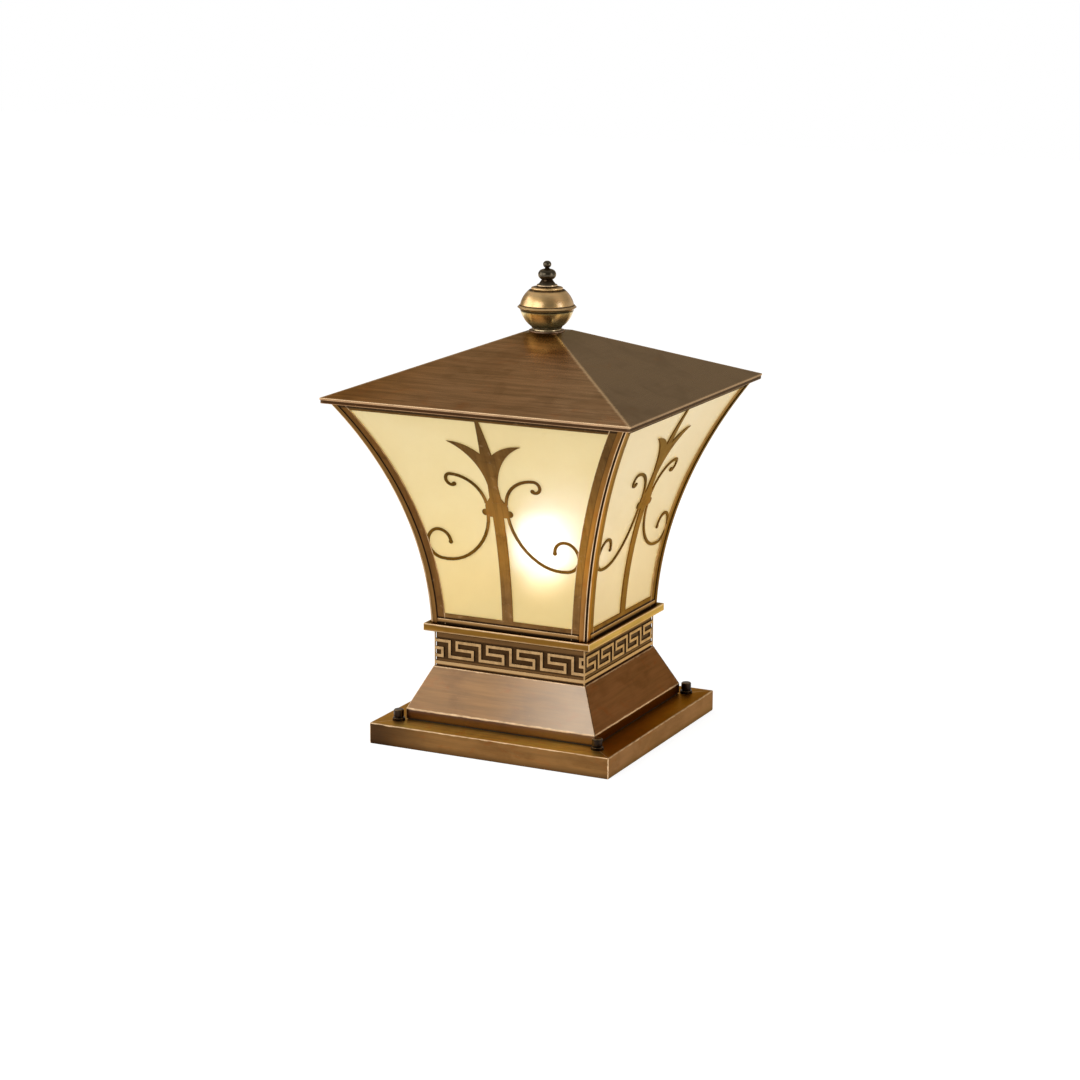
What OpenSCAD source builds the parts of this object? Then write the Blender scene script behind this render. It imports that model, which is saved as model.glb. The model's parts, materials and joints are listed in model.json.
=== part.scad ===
// Pillar light: a flared four-sided glass lantern on a stepped base, with a pyramid roof and a
// turned finial. Millimetres, +Z up, origin at the centre of the underside. The side called
// front faces -Y and the one called right faces +X.

/* [Base box and mounting plate] */
// Width of the square base box
base_w = 250; // [240:1:270]
// Height of the base box
base_h = 20.4; // [18:0.2:24]
// Sheet thickness of the base box
base_sheet = 1.5; // [1:0.1:2.5]
// Distance between neighbouring fixing studs
stud_pitch = 208.8; // [206:0.2:214]
// Diameter of a fixing stud
stud_d = 6; // [5:0.5:6]
// Gap between the mounting plate and the walls of the base box
plate_gap = 9.5; // [6.5:0.1:11.5]
// Thickness of the mounting plate
plate_t = 3; // [2:0.5:4]
// Distance between neighbouring anchor holes of the mounting plate
anchor_pitch = 160; // [130:1:180]
// Diameter of an anchor hole
anchor_d = 9; // [7:0.5:11]
// Bore of the cable grommet
cable_d = 11; // [8:0.5:13]

/* [Skirt] */
// Width of the skirt at its flange
skirt_w = 198.6; // [196:0.2:200]
// Height of the upright flange of the skirt
skirt_flange_h = 9.6; // [7:0.2:12]
// Height of the sloping part of the skirt
skirt_slope_h = 40.2; // [35:0.2:45]
// Sheet thickness of the skirt
skirt_sheet = 1.2; // [1:0.1:1.6]
// Thickness of the gasket under the skirt
gasket_t = 1; // [0.6:0.1:1.5]

/* [Key band] */
// Width of the band over its raised lines
band_w = 158.2; // [157:0.2:160]
// Height of the band that shows between skirt and collar
band_h = 35.6; // [34.6:0.2:38]
// Wall of the band behind its raised lines
band_wall = 2.2; // [1.6:0.1:3]
// How far the lines stand out
relief = 1.4; // [0.8:0.1:2]
// Width of a line of the key pattern
key_line = 2.9; // [2.4:0.1:3.2]
// Length of one repeat of the key pattern
key_pitch = 32.4; // [28:0.2:36]
// Height of the key pattern
key_h = 17.8; // [16:0.1:19]
// Height of the key pattern above the foot of the band
key_lift = 9; // [8.6:0.1:9.8]

/* [Collar] */
// How far the collar stands out past the band
collar_over = 7.8; // [6:0.1:10]
// Depth of the collar's edge
collar_h = 7.2; // [6:0.2:9]
// Sheet thickness of the collar
collar_sheet = 2; // [1.5:0.1:2.5]

/* [Lantern frame] */
// Height of the flared frame
frame_h = 216; // [212:0.5:220]
// Radius of the flare
flare_r = 432.9; // [425:0.1:445]
// Height of the flare's narrowest level above the ground
flare_z = 96.9; // [92:0.1:100]
// How far the frame stands out past the band at the flare's narrowest level
neck_over = 2.8; // [2.4:0.1:3.4]
// Width of each leg of a corner post
post_w = 8; // [7.5:0.1:9]
// Depth of a corner post
post_t = 4.5; // [4.4:0.1:5]
// Width of the open groove down the edge of a corner post
post_groove = 2.4; // [1.8:0.1:2.6]
// How far a grille lies behind the face of the posts
grille_inset = 0.8; // [0.6:0.1:1.2]
// Thickness of a grille
grille_t = 1.2; // [1:0.1:1.3]
// Width of a grille's side strip
stile_w = 8; // [7:0.1:8.5]
// Height of a grille's top strip
rail_h = 4.5; // [4:0.1:5.5]
// Height of a grille's bottom strip
foot_rail_h = 10.8; // [9:0.1:12]
// Height of the raised strip at the foot of each side
strip_h = 3.8; // [3:0.1:5]
// Gap between that strip and the collar
strip_gap = 1.8; // [1:0.1:2.5]

/* [Glass] */
// Thickness of a glass pane
glass_t = 3; // [2.5:0.1:3]
// Thickness of the angle that holds two panes in a corner
retainer_t = 1.5; // [1:0.1:2]
// Width of each leg of that angle, counted from the corner of the frame
retainer_w = 14; // [13:0.1:14.5]

/* [Grille ornament] */
// Width of a scroll's strip
scroll_w = 3; // [2.4:0.1:3.2]
// Width of the stem
stem_w = 11; // [9:0.1:12]
// Height of the hub above the foot of the grille
hub_lift = 114.4; // [110:0.1:118]

/* [Roof] */
// How far the roof's lip stands out past the top of the frame
roof_over = 6.8; // [5:0.1:8]
// Depth of the upright lip
roof_lip = 5.3; // [4.6:0.1:6]
// Height of the bead along the top of the lip
roof_bead = 1.9; // [1.5:0.1:2.5]
// How far the lip's face lies behind the bead
roof_step = 0.7; // [0.4:0.1:1]
// Height of the sloping part of the roof
roof_rise = 51.9; // [48:0.1:56]
// Width of the flat on top of the roof
roof_flat = 36; // [34:0.5:40]
// Sheet thickness of the roof
roof_sheet = 1.2; // [1:0.1:1.5]
// Thickness of the roof seal
seal_t = 1.2; // [0.8:0.1:2]

/* [Finial] */
// Radius of the finial's globe at its joint
globe_r = 25; // [24:0.1:26]
// Radius of the ridge round the globe
ridge_r = 28; // [27.5:0.1:29]
// Diameter of the threaded rod
rod_d = 8; // [6:0.5:8]

/* [Lamp] */
// Radius of the bulb's globe
bulb_r = 30; // [26:0.5:32]
// Height of the bulb's centre above the ground
bulb_z = 183; // [180:0.5:190]

/* [Hidden] */
$fn = 96;
cut = 1;
slide_gap = 0.3;
touch_gap = 0.1;

// Levels of the stack
skirt_z0 = base_h + gasket_t;
skirt_crease_z = skirt_z0 + skirt_flange_h;
skirt_z1 = skirt_crease_z + skirt_slope_h;
collar_z0 = skirt_z1 + band_h;
collar_z1 = collar_z0 + collar_h;
collar_under_z = collar_z1 - collar_sheet;
frame_z0 = collar_z1;
frame_z1 = frame_z0 + frame_h;
roof_z0 = frame_z1 + seal_t;
roof_slope_z = roof_z0 + roof_lip;
roof_z1 = roof_slope_z + roof_rise;

// Base
stud_at = stud_pitch / 2;
stud_above = 8;
spacer_wall = 2.2;
hole_gap = 0.5;
base_hole_r = 50;
grommet_hole_d = cable_d + 9;
grommet_lip = 2.5;
grommet_flange = 2;
grommet_up = 4;
plate_corner_r = 6;
plate_w = base_w - 2 * base_sheet - 2 * plate_gap;
washer_t = 1.2;
nut_body_r = 4.9;
nut_flange_r = 5.8;
nut_h = 9.6;
nut_flange_h = 1.4;
nut_chamfer = 0.8;
nut_groove = 0.5;
stud_washer_r = 6.2;

// Skirt, band and collar
skirt_return = 14;
skirt_top_return = 11;
skirt_top_half = band_w / 2 + 0.6;
gasket_inset = 1;
band_half = band_w / 2;
field_half = band_half - relief;
band_inner = field_half - band_wall;
band_flange_w = 8;
band_flange_t = 2;
bead_z = 2.1;
bead_h = 3.2;
rib_w = 1.2;
key_side = 0.24;
key_phase = [1.85, 16.9, 1.85, 16.9];
key_reach = ceil(band_w / key_pitch);
collar_hole_r = 50;
collar_w = band_w + 2 * collar_over;

// Tie rods that clamp base, skirt, band and collar
tie_in = 13.5;
tie_at = band_inner - tie_in;
tie_d = 5;
tie_nut_flats = 8;
tie_nut_h = 4;
tie_end = 1;

// Frame
neck_half = band_half + neck_over;
flare_x = neck_half + flare_r;
side_reach = 200;
retainer_inset = grille_inset + grille_t + slide_gap + glass_t + slide_gap;
glass_inset = grille_inset + grille_t + slide_gap;
nose_inset = glass_inset + touch_gap;
ring_inset = post_t + touch_gap;
sill_h = strip_gap + strip_h;
sill_screw_in = 4.5;
sill_screw_at = band_inner - sill_screw_in;
sill_margin = 4.1;
strip_inset = -0.4;
glass_z0 = frame_z0 + sill_h + touch_gap;
top_flange_t = 2;
top_flange_z = frame_z1 - top_flange_t;
glass_z1 = top_flange_z - touch_gap;
top_leg_t = 2;
top_leg_h = 11.5;
top_leg_gap = 1.3;
top_leg_half = flare_half(frame_z1 - top_leg_h) - retainer_w - top_leg_gap;

// Ornament, in the plane of the face: across, and up from the hub's level
hub_z = frame_z0 + hub_lift;
hub_half = 11.6;
hub_h = 19.6;
hub_side_h = 11.6;
knob_r = 3.3;
knob_x = 12.6;
knob_up = 4.2;
waist_half = 4.8;
spike_root_half = 5.8;
spike_root_up = 63.4;
spike_tip_half = 1.7;
leaf_tip = [38.1, 74.6];
leaf_upper_mid = [20.4, 71.8];
leaf_lower_mid = [15.5, 57.2];
leaf_waist = [5, 32];
scroll_end_r = 2.1;
arc_step = 9;
// Each scroll is a start, a heading in degrees, and arcs of [radius, turn]
low_scroll = [[10.2, 2.5], -86.5, [[56, 54.5], [43.5, 40], [15, 135], [11.5, 128]]];
high_scroll = [[10.1, 13], 83, [[30, -47], [34, -37], [5.6, -189], [1.8, -61]]];

// Roof and cross bar
roof_w = 2 * (flare_half(frame_z1) + roof_over);
roof_return = 22;
seal_w = 12;
seal_inset = 6;
bar_w = 24;
bar_t = 3;
bar_z = frame_z1 - top_leg_h;
bar_tab_h = 9;
bar_tab_t = 2;
rod_gap = 0.4;
rod_nut_flats = 13;
rod_nut_h = 6.5;
rod_tail = 2;
rod_grip = 12;
finial_thread_gap = 0.05;

// Finial profile, [radius, height above the roof's flat]
foot_z = 1.2;
finial_washer_r = 17;
lower_globe = [[14.3, 4.3], [21.9, 12.2], [globe_r + 0.2, 20.2]];
upper_globe = [[globe_r + 0.4, 25.5], [23.1, 31.6], [16.6, 39.3]];
ridge_z = 22.9;
ring_low = [15, 40, 42];
ring_high = [9.8, 42.6, 44.3];
knob_neck = [6.9, 46.2];
knob_low = [[5.3, 48.9], [8.55, 53.9], [4.8, 58.4]];
tip_neck = [2.6, 59];
tip_ball = [[1.9, 59.9], [3.95, 63.2], [0.6, 66.4]];

// Lamp and holder
cap_r = 13;
cap_len = 22;
cap_wall = 0.5;
contact_r = 4.5;
contact_t = 1;
insulator_h = 3;
bulb_len = 105;
bulb_z1 = bulb_z + bulb_r;
bulb_z0 = bulb_z1 - bulb_len;
cap_z0 = bulb_z0 + contact_t + insulator_h;
cap_z1 = cap_z0 + cap_len;
bulb_wall = 0.8;
bulb_neck_r = cap_r - cap_wall - 0.1;
bulb_neck_in = 5;
holder_shell_gap = 0.3;
holder_shell_t = 0.4;
holder_r = 22;
holder_step_r = 20;
holder_rim_r = 19;
holder_foot_h = 14;
holder_step_h = 2;
holder_rim_h = 6;
holder_rim_z = cap_z1 + 1;
bracket_z1 = bulb_z0 - 22;
bracket_t = 2;
bracket_w = 34;
bracket_lap = 8;
bracket_half = collar_hole_r + bracket_lap;
bracket_foot = 8.5;
holder_spring_z = bulb_z0 - 5;
screw_d = 4;
terminal_size = [18, 24, 13];
terminal_x = -43;
earth_x = 38;
wire_d = 2.2;
wire_steps = 12;
wire_sides = 8;
bracket_screw_out = 4.4;
bracket_screw_x = bracket_half + bracket_screw_out;
bar_head_r = 3.2;
bar_screw_z = bar_z + bar_t + bar_head_r + touch_gap;

// Half width of the flared frame at a height
function flare_half(z) = flare_x - sqrt(flare_r * flare_r - pow(z - flare_z, 2));

// Points of an arc through three points, from the first to the last
function arc_centre(a, b, c) =
    let (d = 2 * (a.x * (b.y - c.y) + b.x * (c.y - a.y) + c.x * (a.y - b.y)),
         aa = a * a, bb = b * b, cc = c * c)
    [(aa * (b.y - c.y) + bb * (c.y - a.y) + cc * (a.y - b.y)) / d,
     (aa * (c.x - b.x) + bb * (a.x - c.x) + cc * (b.x - a.x)) / d];
function wrap(a) = a > 180 ? a - 360 : a < -180 ? a + 360 : a;
function arc3(p, n = 12) =
    let (m = arc_centre(p[0], p[1], p[2]),
         r = norm(p[0] - m),
         a0 = atan2(p[0].y - m.y, p[0].x - m.x),
         a1 = atan2(p[1].y - m.y, p[1].x - m.x),
         a2 = atan2(p[2].y - m.y, p[2].x - m.x),
         turn = wrap(a1 - a0) + wrap(a2 - a1))
    [for (k = [0 : n]) m + r * [cos(a0 + turn * k / n), sin(a0 + turn * k / n)]];

// Where a chain of tangent arcs stands, as [x, y, heading], after its first arcs
function arc_end(p, arc) =
    let (s = sign(arc[1]), r = arc[0], h = p[2], g = h + arc[1],
         m = [p[0], p[1]] + r * s * [-sin(h), cos(h)], q = m - r * s * [-sin(g), cos(g)])
    [q.x, q.y, g];
function chain_state(p, arcs, n) = n == 0 ? p : arc_end(chain_state(p, arcs, n - 1), arcs[n - 1]);
function chain_points(chain) =
    let (start = [chain[0].x, chain[0].y, chain[1]], arcs = chain[2])
    concat([for (i = [0 : len(arcs) - 1])
        let (steps = ceil(abs(arcs[i][1]) / arc_step))
        for (k = [0 : steps - 1])
            arc_end(chain_state(start, arcs, i), [arcs[i][0], arcs[i][1] * k / steps])],
        [chain_state(start, arcs, len(arcs))]);

// Closed block with a square plan, through [half width, height] pairs from the bottom up
module square_stack(levels) {
    last = len(levels) - 1;
    outline = concat(levels, [for (i = [last : -1 : 0]) [-levels[i].x, levels[i].y]]);
    intersection() {
        along_y()
            polygon(outline);
        along_x()
            polygon(outline);
    }
}

module block(half, z0, z1) {
    translate([-half, -half, z0])
        cube([2 * half, 2 * half, z1 - z0]);
}

module square_ring(outer, inner, z0, z1) {
    difference() {
        block(outer, z0, z1);
        block(inner, z0 - cut, z1 + cut);
    }
}

module at_corners(at) {
    for (x = [-at, at], y = [-at, at])
        translate([x, y, 0])
            children();
}

module pipe(r, z0, z1) {
    translate([0, 0, z0])
        cylinder(r = r, h = z1 - z0);
}

module tube(outer, inner, z0, z1) {
    difference() {
        pipe(outer, z0, z1);
        pipe(inner, z0 - cut, z1 + cut);
    }
}

module hex_nut(flats, bore, z0, z1) {
    difference() {
        translate([0, 0, z0])
            cylinder(r = flats / sqrt(3), h = z1 - z0, $fn = 6);
        pipe(bore, z0 - cut, z1 + cut);
    }
}

// Lays a face drawing, across and up, along Y or along X
module along_y(length = 2 * side_reach) {
    rotate([90, 0, 0])
        linear_extrude(height = length, center = true)
            children();
}

module along_x(length = 2 * side_reach) {
    rotate([90, 0, 90])
        linear_extrude(height = length, center = true)
            children();
}

module flare_circle(across, deep, right = 1) {
    translate([right * (flare_x - across), flare_z])
        circle(r = flare_r + deep, $fn = 720);
}

// Face drawing of all that lies more than a distance in from both flared edges; deep distances
// are square to the curve, the others are level
module flare_face(across, z0, z1, deep = 0) {
    difference() {
        translate([-side_reach, z0])
            square([2 * side_reach, z1 - z0]);
        flare_circle(across, deep);
        flare_circle(across, deep, -1);
    }
}

// Face drawing of a strip that follows the right flared edge, from one distance in to another
module flare_strip(across0, across1, deep0, deep1, z0, z1) {
    intersection() {
        difference() {
            flare_circle(across1, deep1);
            flare_circle(across0, deep0);
        }
        translate([0, z0])
            square([side_reach, z1 - z0]);
    }
}

// The curved sheet of the front side between two depths
module front_sheet(deep0, deep1, z0, z1) {
    mirror([0, 1, 0])
        along_x()
            flare_strip(0, 0, deep0, deep1, z0, z1);
}

// Solid body of the frame, a depth in from its faces
module flare_body(deep, z0, z1) {
    intersection() {
        along_y()
            flare_face(0, z0, z1, deep);
        along_x()
            flare_face(0, z0, z1, deep);
    }
}

// Curved angle in the corner between right and back, a depth in from the faces, with legs of
// one width counted from the corner of the frame and a groove down its edge
module corner_angle(inset, thick, wide, groove, z0, z1) {
    intersection() {
        along_y()
            flare_strip(0, 0, inset, inset + thick, z0, z1);
        along_x()
            flare_strip(groove, wide, inset, 0, z0, z1);
    }
    intersection() {
        along_y()
            flare_strip(groove, wide, inset, 0, z0, z1);
        along_x()
            flare_strip(0, 0, inset, inset + thick, z0, z1);
    }
}

module turned(side) {
    rotate([0, 0, 90 * side])
        children();
}

module mounting_plate() {
    color("silver")
    difference() {
        linear_extrude(height = plate_t)
            offset(r = plate_corner_r)
                square(plate_w - 2 * plate_corner_r, center = true);
        pipe(grommet_hole_d / 2, -cut, plate_t + cut);
        at_corners(anchor_pitch / 2)
            pipe(anchor_d / 2, -cut, plate_t + cut);
        at_corners(stud_at)
            pipe(stud_d / 2, -cut, plate_t + cut);
    }
}

module fixing_studs() {
    color("silver")
    at_corners(stud_at)
        pipe(stud_d / 2, 0, base_h + stud_above);
}

module stud_spacers() {
    color("lightgray")
    at_corners(stud_at)
        tube(stud_d / 2 + hole_gap + spacer_wall, stud_d / 2 + hole_gap / 2, plate_t, base_h - base_sheet);
}

module cable_grommet() {
    color("black")
    difference() {
        union() {
            pipe(grommet_hole_d / 2, 0, plate_t);
            pipe(grommet_hole_d / 2 + grommet_lip, plate_t, plate_t + grommet_flange);
            pipe(cable_d / 2 + grommet_lip, plate_t, plate_t + grommet_flange + grommet_up);
        }
        pipe(cable_d / 2, -cut, base_h);
    }
}

module base_box() {
    color("peru")
    difference() {
        block(base_w / 2, 0, base_h);
        block(base_w / 2 - base_sheet, -cut, base_h - base_sheet);
        pipe(base_hole_r, 0, base_h + cut);
        at_corners(stud_at)
            pipe(stud_d / 2 + hole_gap, 0, base_h + cut);
        at_corners(tie_at)
            pipe(tie_d / 2 + hole_gap / 2, 0, base_h + cut);
    }
}

module stud_washers() {
    color("saddlebrown")
    at_corners(stud_at)
        tube(stud_washer_r, stud_d / 2 + hole_gap / 2, base_h, base_h + washer_t);
}

module cap_nuts() {
    z = base_h + washer_t;
    color("saddlebrown")
    at_corners(stud_at)
        rotate_extrude()
            polygon([
                [stud_d / 2 + touch_gap, z], [nut_flange_r, z], [nut_flange_r, z + nut_flange_h],
                [nut_body_r - nut_groove, z + nut_flange_h + nut_groove],
                [nut_body_r - nut_groove, z + nut_flange_h + 2 * nut_groove],
                [nut_body_r, z + nut_flange_h + 3 * nut_groove],
                [nut_body_r, z + nut_h - nut_chamfer], [nut_body_r - nut_chamfer, z + nut_h],
                [0, z + nut_h], [0, base_h + stud_above + touch_gap],
                [stud_d / 2 + touch_gap, base_h + stud_above + touch_gap]]);
}

module skirt_gasket() {
    color("black")
    square_ring(skirt_w / 2 - gasket_inset, skirt_w / 2 - skirt_return, base_h, skirt_z0);
}

module skirt() {
    half = skirt_w / 2;
    slope_half = skirt_sheet * skirt_slope_h / norm([half - skirt_top_half, skirt_slope_h]);
    color("peru")
    difference() {
        square_stack([[half, skirt_z0], [half, skirt_crease_z], [skirt_top_half, skirt_z1]]);
        square_stack([[half - skirt_sheet, skirt_z0 + skirt_sheet],
                      [half - skirt_sheet, skirt_crease_z],
                      [skirt_top_half - slope_half - skirt_sheet / 2, skirt_z1 - skirt_sheet]]);
        block(half - skirt_return, skirt_z0 - cut, skirt_crease_z);
        block(skirt_top_half - skirt_top_return, skirt_crease_z, skirt_z1 + cut);
    }
}

// One repeat of the key pattern, from the middle of its upright bar
module key_unit() {
    w = key_line;
    mid = (key_h - w) / 2;
    left = key_side * key_pitch;
    right = (1 - key_side) * key_pitch;
    translate([-w / 2, 0])
        square([w, key_h]);
    translate([-w / 2, 0])
        square([right + w, w]);
    translate([right - w / 2, 0])
        square([w, mid + w]);
    translate([left - w / 2, mid])
        square([right - left + w, w]);
    translate([left - w / 2, mid])
        square([w, key_h - mid]);
    translate([left - w / 2, key_h - w])
        square([key_pitch - left + w, w]);
}

module key_relief(side) {
    root = field_half - band_wall / 2;
    intersection() {
        linear_extrude(height = collar_z1)
            polygon([[-root, -root], [root, -root], [band_half, -band_half], [-band_half, -band_half]]);
        translate([0, -field_half, skirt_z1])
            along_y(4 * band_wall)
                union() {
                    translate([-band_half, bead_z])
                        square([band_w, bead_h]);
                    for (x = [-band_half, band_half - rib_w])
                        translate([x, 0])
                            square([rib_w, collar_under_z - skirt_z1]);
                    for (k = [-key_reach : key_reach])
                        translate([key_phase[side] + k * key_pitch, key_lift])
                            key_unit();
                }
    }
}

module key_band() {
    color("goldenrod") {
        difference() {
            block(field_half, skirt_z1, collar_under_z);
            block(band_inner, skirt_z1 + band_flange_t, collar_under_z + cut);
            block(band_inner - band_flange_w, skirt_z1 - cut, collar_under_z);
        }
        for (side = [0 : 3])
            turned(side)
                key_relief(side);
    }
}

module collar() {
    color("peru")
    difference() {
        block(collar_w / 2, collar_z0, collar_z1);
        block(collar_w / 2 - collar_sheet, collar_z0 - cut, collar_under_z);
        pipe(collar_hole_r, collar_z0, collar_z1 + cut);
        at_corners(tie_at)
            pipe(tie_d / 2 + hole_gap / 2, collar_z0, collar_z1 + cut);
        for (x = [-bracket_screw_x, bracket_screw_x])
            translate([x, 0, 0])
                pipe(screw_d / 2 + hole_gap / 2, collar_z0, collar_z1 + cut);
        for (side = [0 : 3])
            turned(side)
                translate([0, -sill_screw_at, 0])
                    pipe(screw_d / 2 + hole_gap / 2, collar_z0, collar_z1 + cut);
    }
}

module tie_rods() {
    color("silver")
    at_corners(tie_at)
        pipe(tie_d / 2, base_h - base_sheet - tie_nut_h - tie_end, collar_z1 + tie_nut_h + tie_end);
}

module tie_nuts() {
    color("silver")
    at_corners(tie_at) {
        hex_nut(tie_nut_flats, tie_d / 2, base_h - base_sheet - tie_nut_h, base_h - base_sheet);
        hex_nut(tie_nut_flats, tie_d / 2, collar_z1, collar_z1 + tie_nut_h);
    }
}

module post(corner) {
    color("peru")
    turned(corner - 1)
        corner_angle(0, post_t, post_w, post_groove, frame_z0, frame_z1);
}

module retainer(corner) {
    color("silver")
    turned(corner - 1)
        corner_angle(retainer_inset, retainer_t, retainer_w, 0, glass_z0, glass_z1);
}

module scroll(chain) {
    pts = chain_points(chain);
    n = len(pts) - 1;
    along_y()
        polygon(concat(
            [for (p = pts) [p.x, p.y] + scroll_w / 2 * [-sin(p[2]), cos(p[2])]],
            [for (k = [n : -1 : 0])
                [pts[k].x, pts[k].y] - scroll_w / 2 * [-sin(pts[k][2]), cos(pts[k][2])]]));
    along_y()
        translate([pts[n].x, pts[n].y])
            circle(r = scroll_end_r, $fn = 24);
}

// Spike, leaves and hub of one side, with the foot of the hub at zero
module fleur() {
    tip_up = frame_z1 - rail_h + cut - hub_z;
    right_edge = concat(
        [[hub_half, 0], [hub_half, hub_side_h], [waist_half + 1, hub_h]],
        arc3([leaf_waist, leaf_lower_mid, leaf_tip]),
        arc3([leaf_tip, leaf_upper_mid, [spike_root_half, spike_root_up]]),
        [[spike_tip_half, tip_up]]);
    n = len(right_edge) - 1;
    polygon(concat(right_edge, [for (k = [n : -1 : 0]) [-right_edge[k].x, right_edge[k].y]]));
}

// Ornament of one side, through the whole depth of the lantern
module ornament() {
    translate([0, 0, hub_z]) {
        along_y()
            fleur();
        along_y()
            translate([-stem_w / 2, -hub_lift + foot_rail_h - cut])
                square([stem_w, hub_lift - foot_rail_h + 2 * cut]);
        for (side = [0, 1])
            mirror([side, 0, 0]) {
                along_y()
                    translate([knob_x, knob_up])
                        circle(r = knob_r, $fn = 32);
                scroll(low_scroll);
                scroll(high_scroll);
            }
    }
}

module grille(side) {
    color("peru")
    turned(side)
        intersection() {
            front_sheet(grille_inset, grille_inset + grille_t, frame_z0, frame_z1);
            along_y()
                flare_face(post_w, frame_z0, frame_z1);
            union() {
                along_y()
                    difference() {
                        flare_face(post_w, frame_z0, frame_z1);
                        flare_face(post_w + stile_w, frame_z0 + foot_rail_h, frame_z1 - rail_h);
                    }
                ornament();
            }
        }
}

module foot_strip(side) {
    color("peru")
    turned(side)
        intersection() {
            front_sheet(strip_inset, grille_inset - touch_gap, frame_z0 + strip_gap,
                        frame_z0 + strip_gap + strip_h);
            along_y()
                flare_face(post_w, frame_z0 + strip_gap, frame_z0 + strip_gap + strip_h);
        }
}

module glass(side) {
    color([0.95, 0.85, 0.55, 0.6])
    turned(side)
        intersection() {
            front_sheet(glass_inset, glass_inset + glass_t, glass_z0, glass_z1);
            along_y()
                flare_face(0, glass_z0, glass_z1, post_w + slide_gap);
        }
}

// Closed body inside the posts, with a nose between each two posts that reaches under the glass
module ring_body(z0, z1) {
    flare_body(ring_inset, z0, z1);
    for (side = [0 : 3])
        turned(side)
            intersection() {
                front_sheet(nose_inset, ring_inset + cut, z0, z1);
                along_y()
                    flare_face(post_w + slide_gap, z0, z1);
            }
}

module sill_frame() {
    color("silver")
    difference() {
        ring_body(frame_z0, frame_z0 + sill_h);
        block(sill_screw_at - sill_margin, frame_z0 - cut, frame_z0 + sill_h + cut);
        for (side = [0 : 3])
            turned(side)
                translate([0, -sill_screw_at, 0])
                    pipe(screw_d / 2, frame_z0 - cut, frame_z0 + sill_h - cut);
    }
}

module sill_screws() {
    color("silver")
    for (side = [0 : 3])
        turned(side)
            translate([0, -sill_screw_at, 0]) {
                pipe(screw_d / 2, collar_under_z, frame_z0 + sill_h - cut);
                pipe(screw_d, collar_under_z - 2, collar_under_z);
            }
}

module top_frame() {
    color("silver") {
        difference() {
            ring_body(top_flange_z, frame_z1);
            block(top_leg_half, top_flange_z - cut, frame_z1 + cut);
        }
        difference() {
            square_ring(top_leg_half + top_leg_t, top_leg_half, frame_z1 - top_leg_h, top_flange_z);
            for (x = [-1, 1])
                translate([x * top_leg_half, 0, bar_screw_z])
                    rotate([0, 90, 0])
                        cylinder(r = screw_d / 2, h = 4 * top_leg_t, center = true);
        }
    }
}

module cross_bar() {
    color("silver")
    difference() {
        union() {
            translate([-top_leg_half, -bar_w / 2, bar_z])
                cube([2 * top_leg_half, bar_w, bar_t]);
            for (x = [-top_leg_half, top_leg_half - bar_tab_t])
                translate([x, -bar_w / 2, bar_z])
                    cube([bar_tab_t, bar_w, bar_tab_h]);
        }
        pipe(rod_d / 2 + rod_gap / 2, bar_z - cut, bar_z + bar_t + cut);
        for (x = [-1, 1])
            translate([x * top_leg_half, 0, bar_screw_z])
                rotate([0, 90, 0])
                    cylinder(r = screw_d / 2, h = 4 * bar_tab_t, center = true);
    }
}

module bar_screws() {
    color("silver")
    for (x = [0, 1])
        mirror([x, 0, 0])
            translate([top_leg_half, 0, bar_screw_z])
                rotate([0, 90, 0]) {
                    translate([0, 0, -bar_tab_t])
                        cylinder(r = screw_d / 2, h = bar_tab_t + top_leg_t);
                    translate([0, 0, -bar_tab_t - 2])
                        cylinder(r = bar_head_r, h = 2);
                }
}

module finial_rod() {
    color("silver")
    pipe(rod_d / 2, bar_z - rod_nut_h - rod_tail, roof_z1 + foot_z + rod_grip);
}

module rod_nuts() {
    color("silver") {
        hex_nut(rod_nut_flats, rod_d / 2, bar_z - rod_nut_h, bar_z);
        hex_nut(rod_nut_flats, rod_d / 2, bar_z + bar_t, bar_z + bar_t + rod_nut_h);
    }
}

module roof_seal() {
    outer = flare_half(frame_z1) - seal_inset;
    color("black")
    square_ring(outer, outer - seal_w, frame_z1, roof_z0);
}

module roof_shell() {
    half = roof_w / 2;
    face_half = half - roof_step;
    inner_half = face_half - roof_sheet;
    bead_z0 = roof_slope_z - roof_bead;
    flat_half = roof_flat / 2;
    run = half - flat_half;
    side_drop = roof_sheet * (norm([run, roof_rise]) - roof_rise) / run;
    inner_drop = side_drop - roof_step * roof_rise / run;
    color("peru")
    difference() {
        square_stack([[face_half, roof_z0], [face_half, bead_z0], [half, bead_z0],
                      [half, roof_slope_z], [flat_half, roof_z1]]);
        square_stack([[inner_half, roof_z0 + roof_sheet],
                      [inner_half, roof_slope_z - inner_drop],
                      [flat_half - roof_sheet + side_drop, roof_z1 - roof_sheet]]);
        block(half - roof_return, roof_z0 - cut, roof_slope_z);
        pipe(rod_d / 2 + hole_gap, roof_slope_z, roof_z1 + cut);
    }
}

module finial_washer() {
    color("goldenrod")
    tube(finial_washer_r, rod_d / 2 + rod_gap, roof_z1, roof_z1 + foot_z);
}

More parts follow.
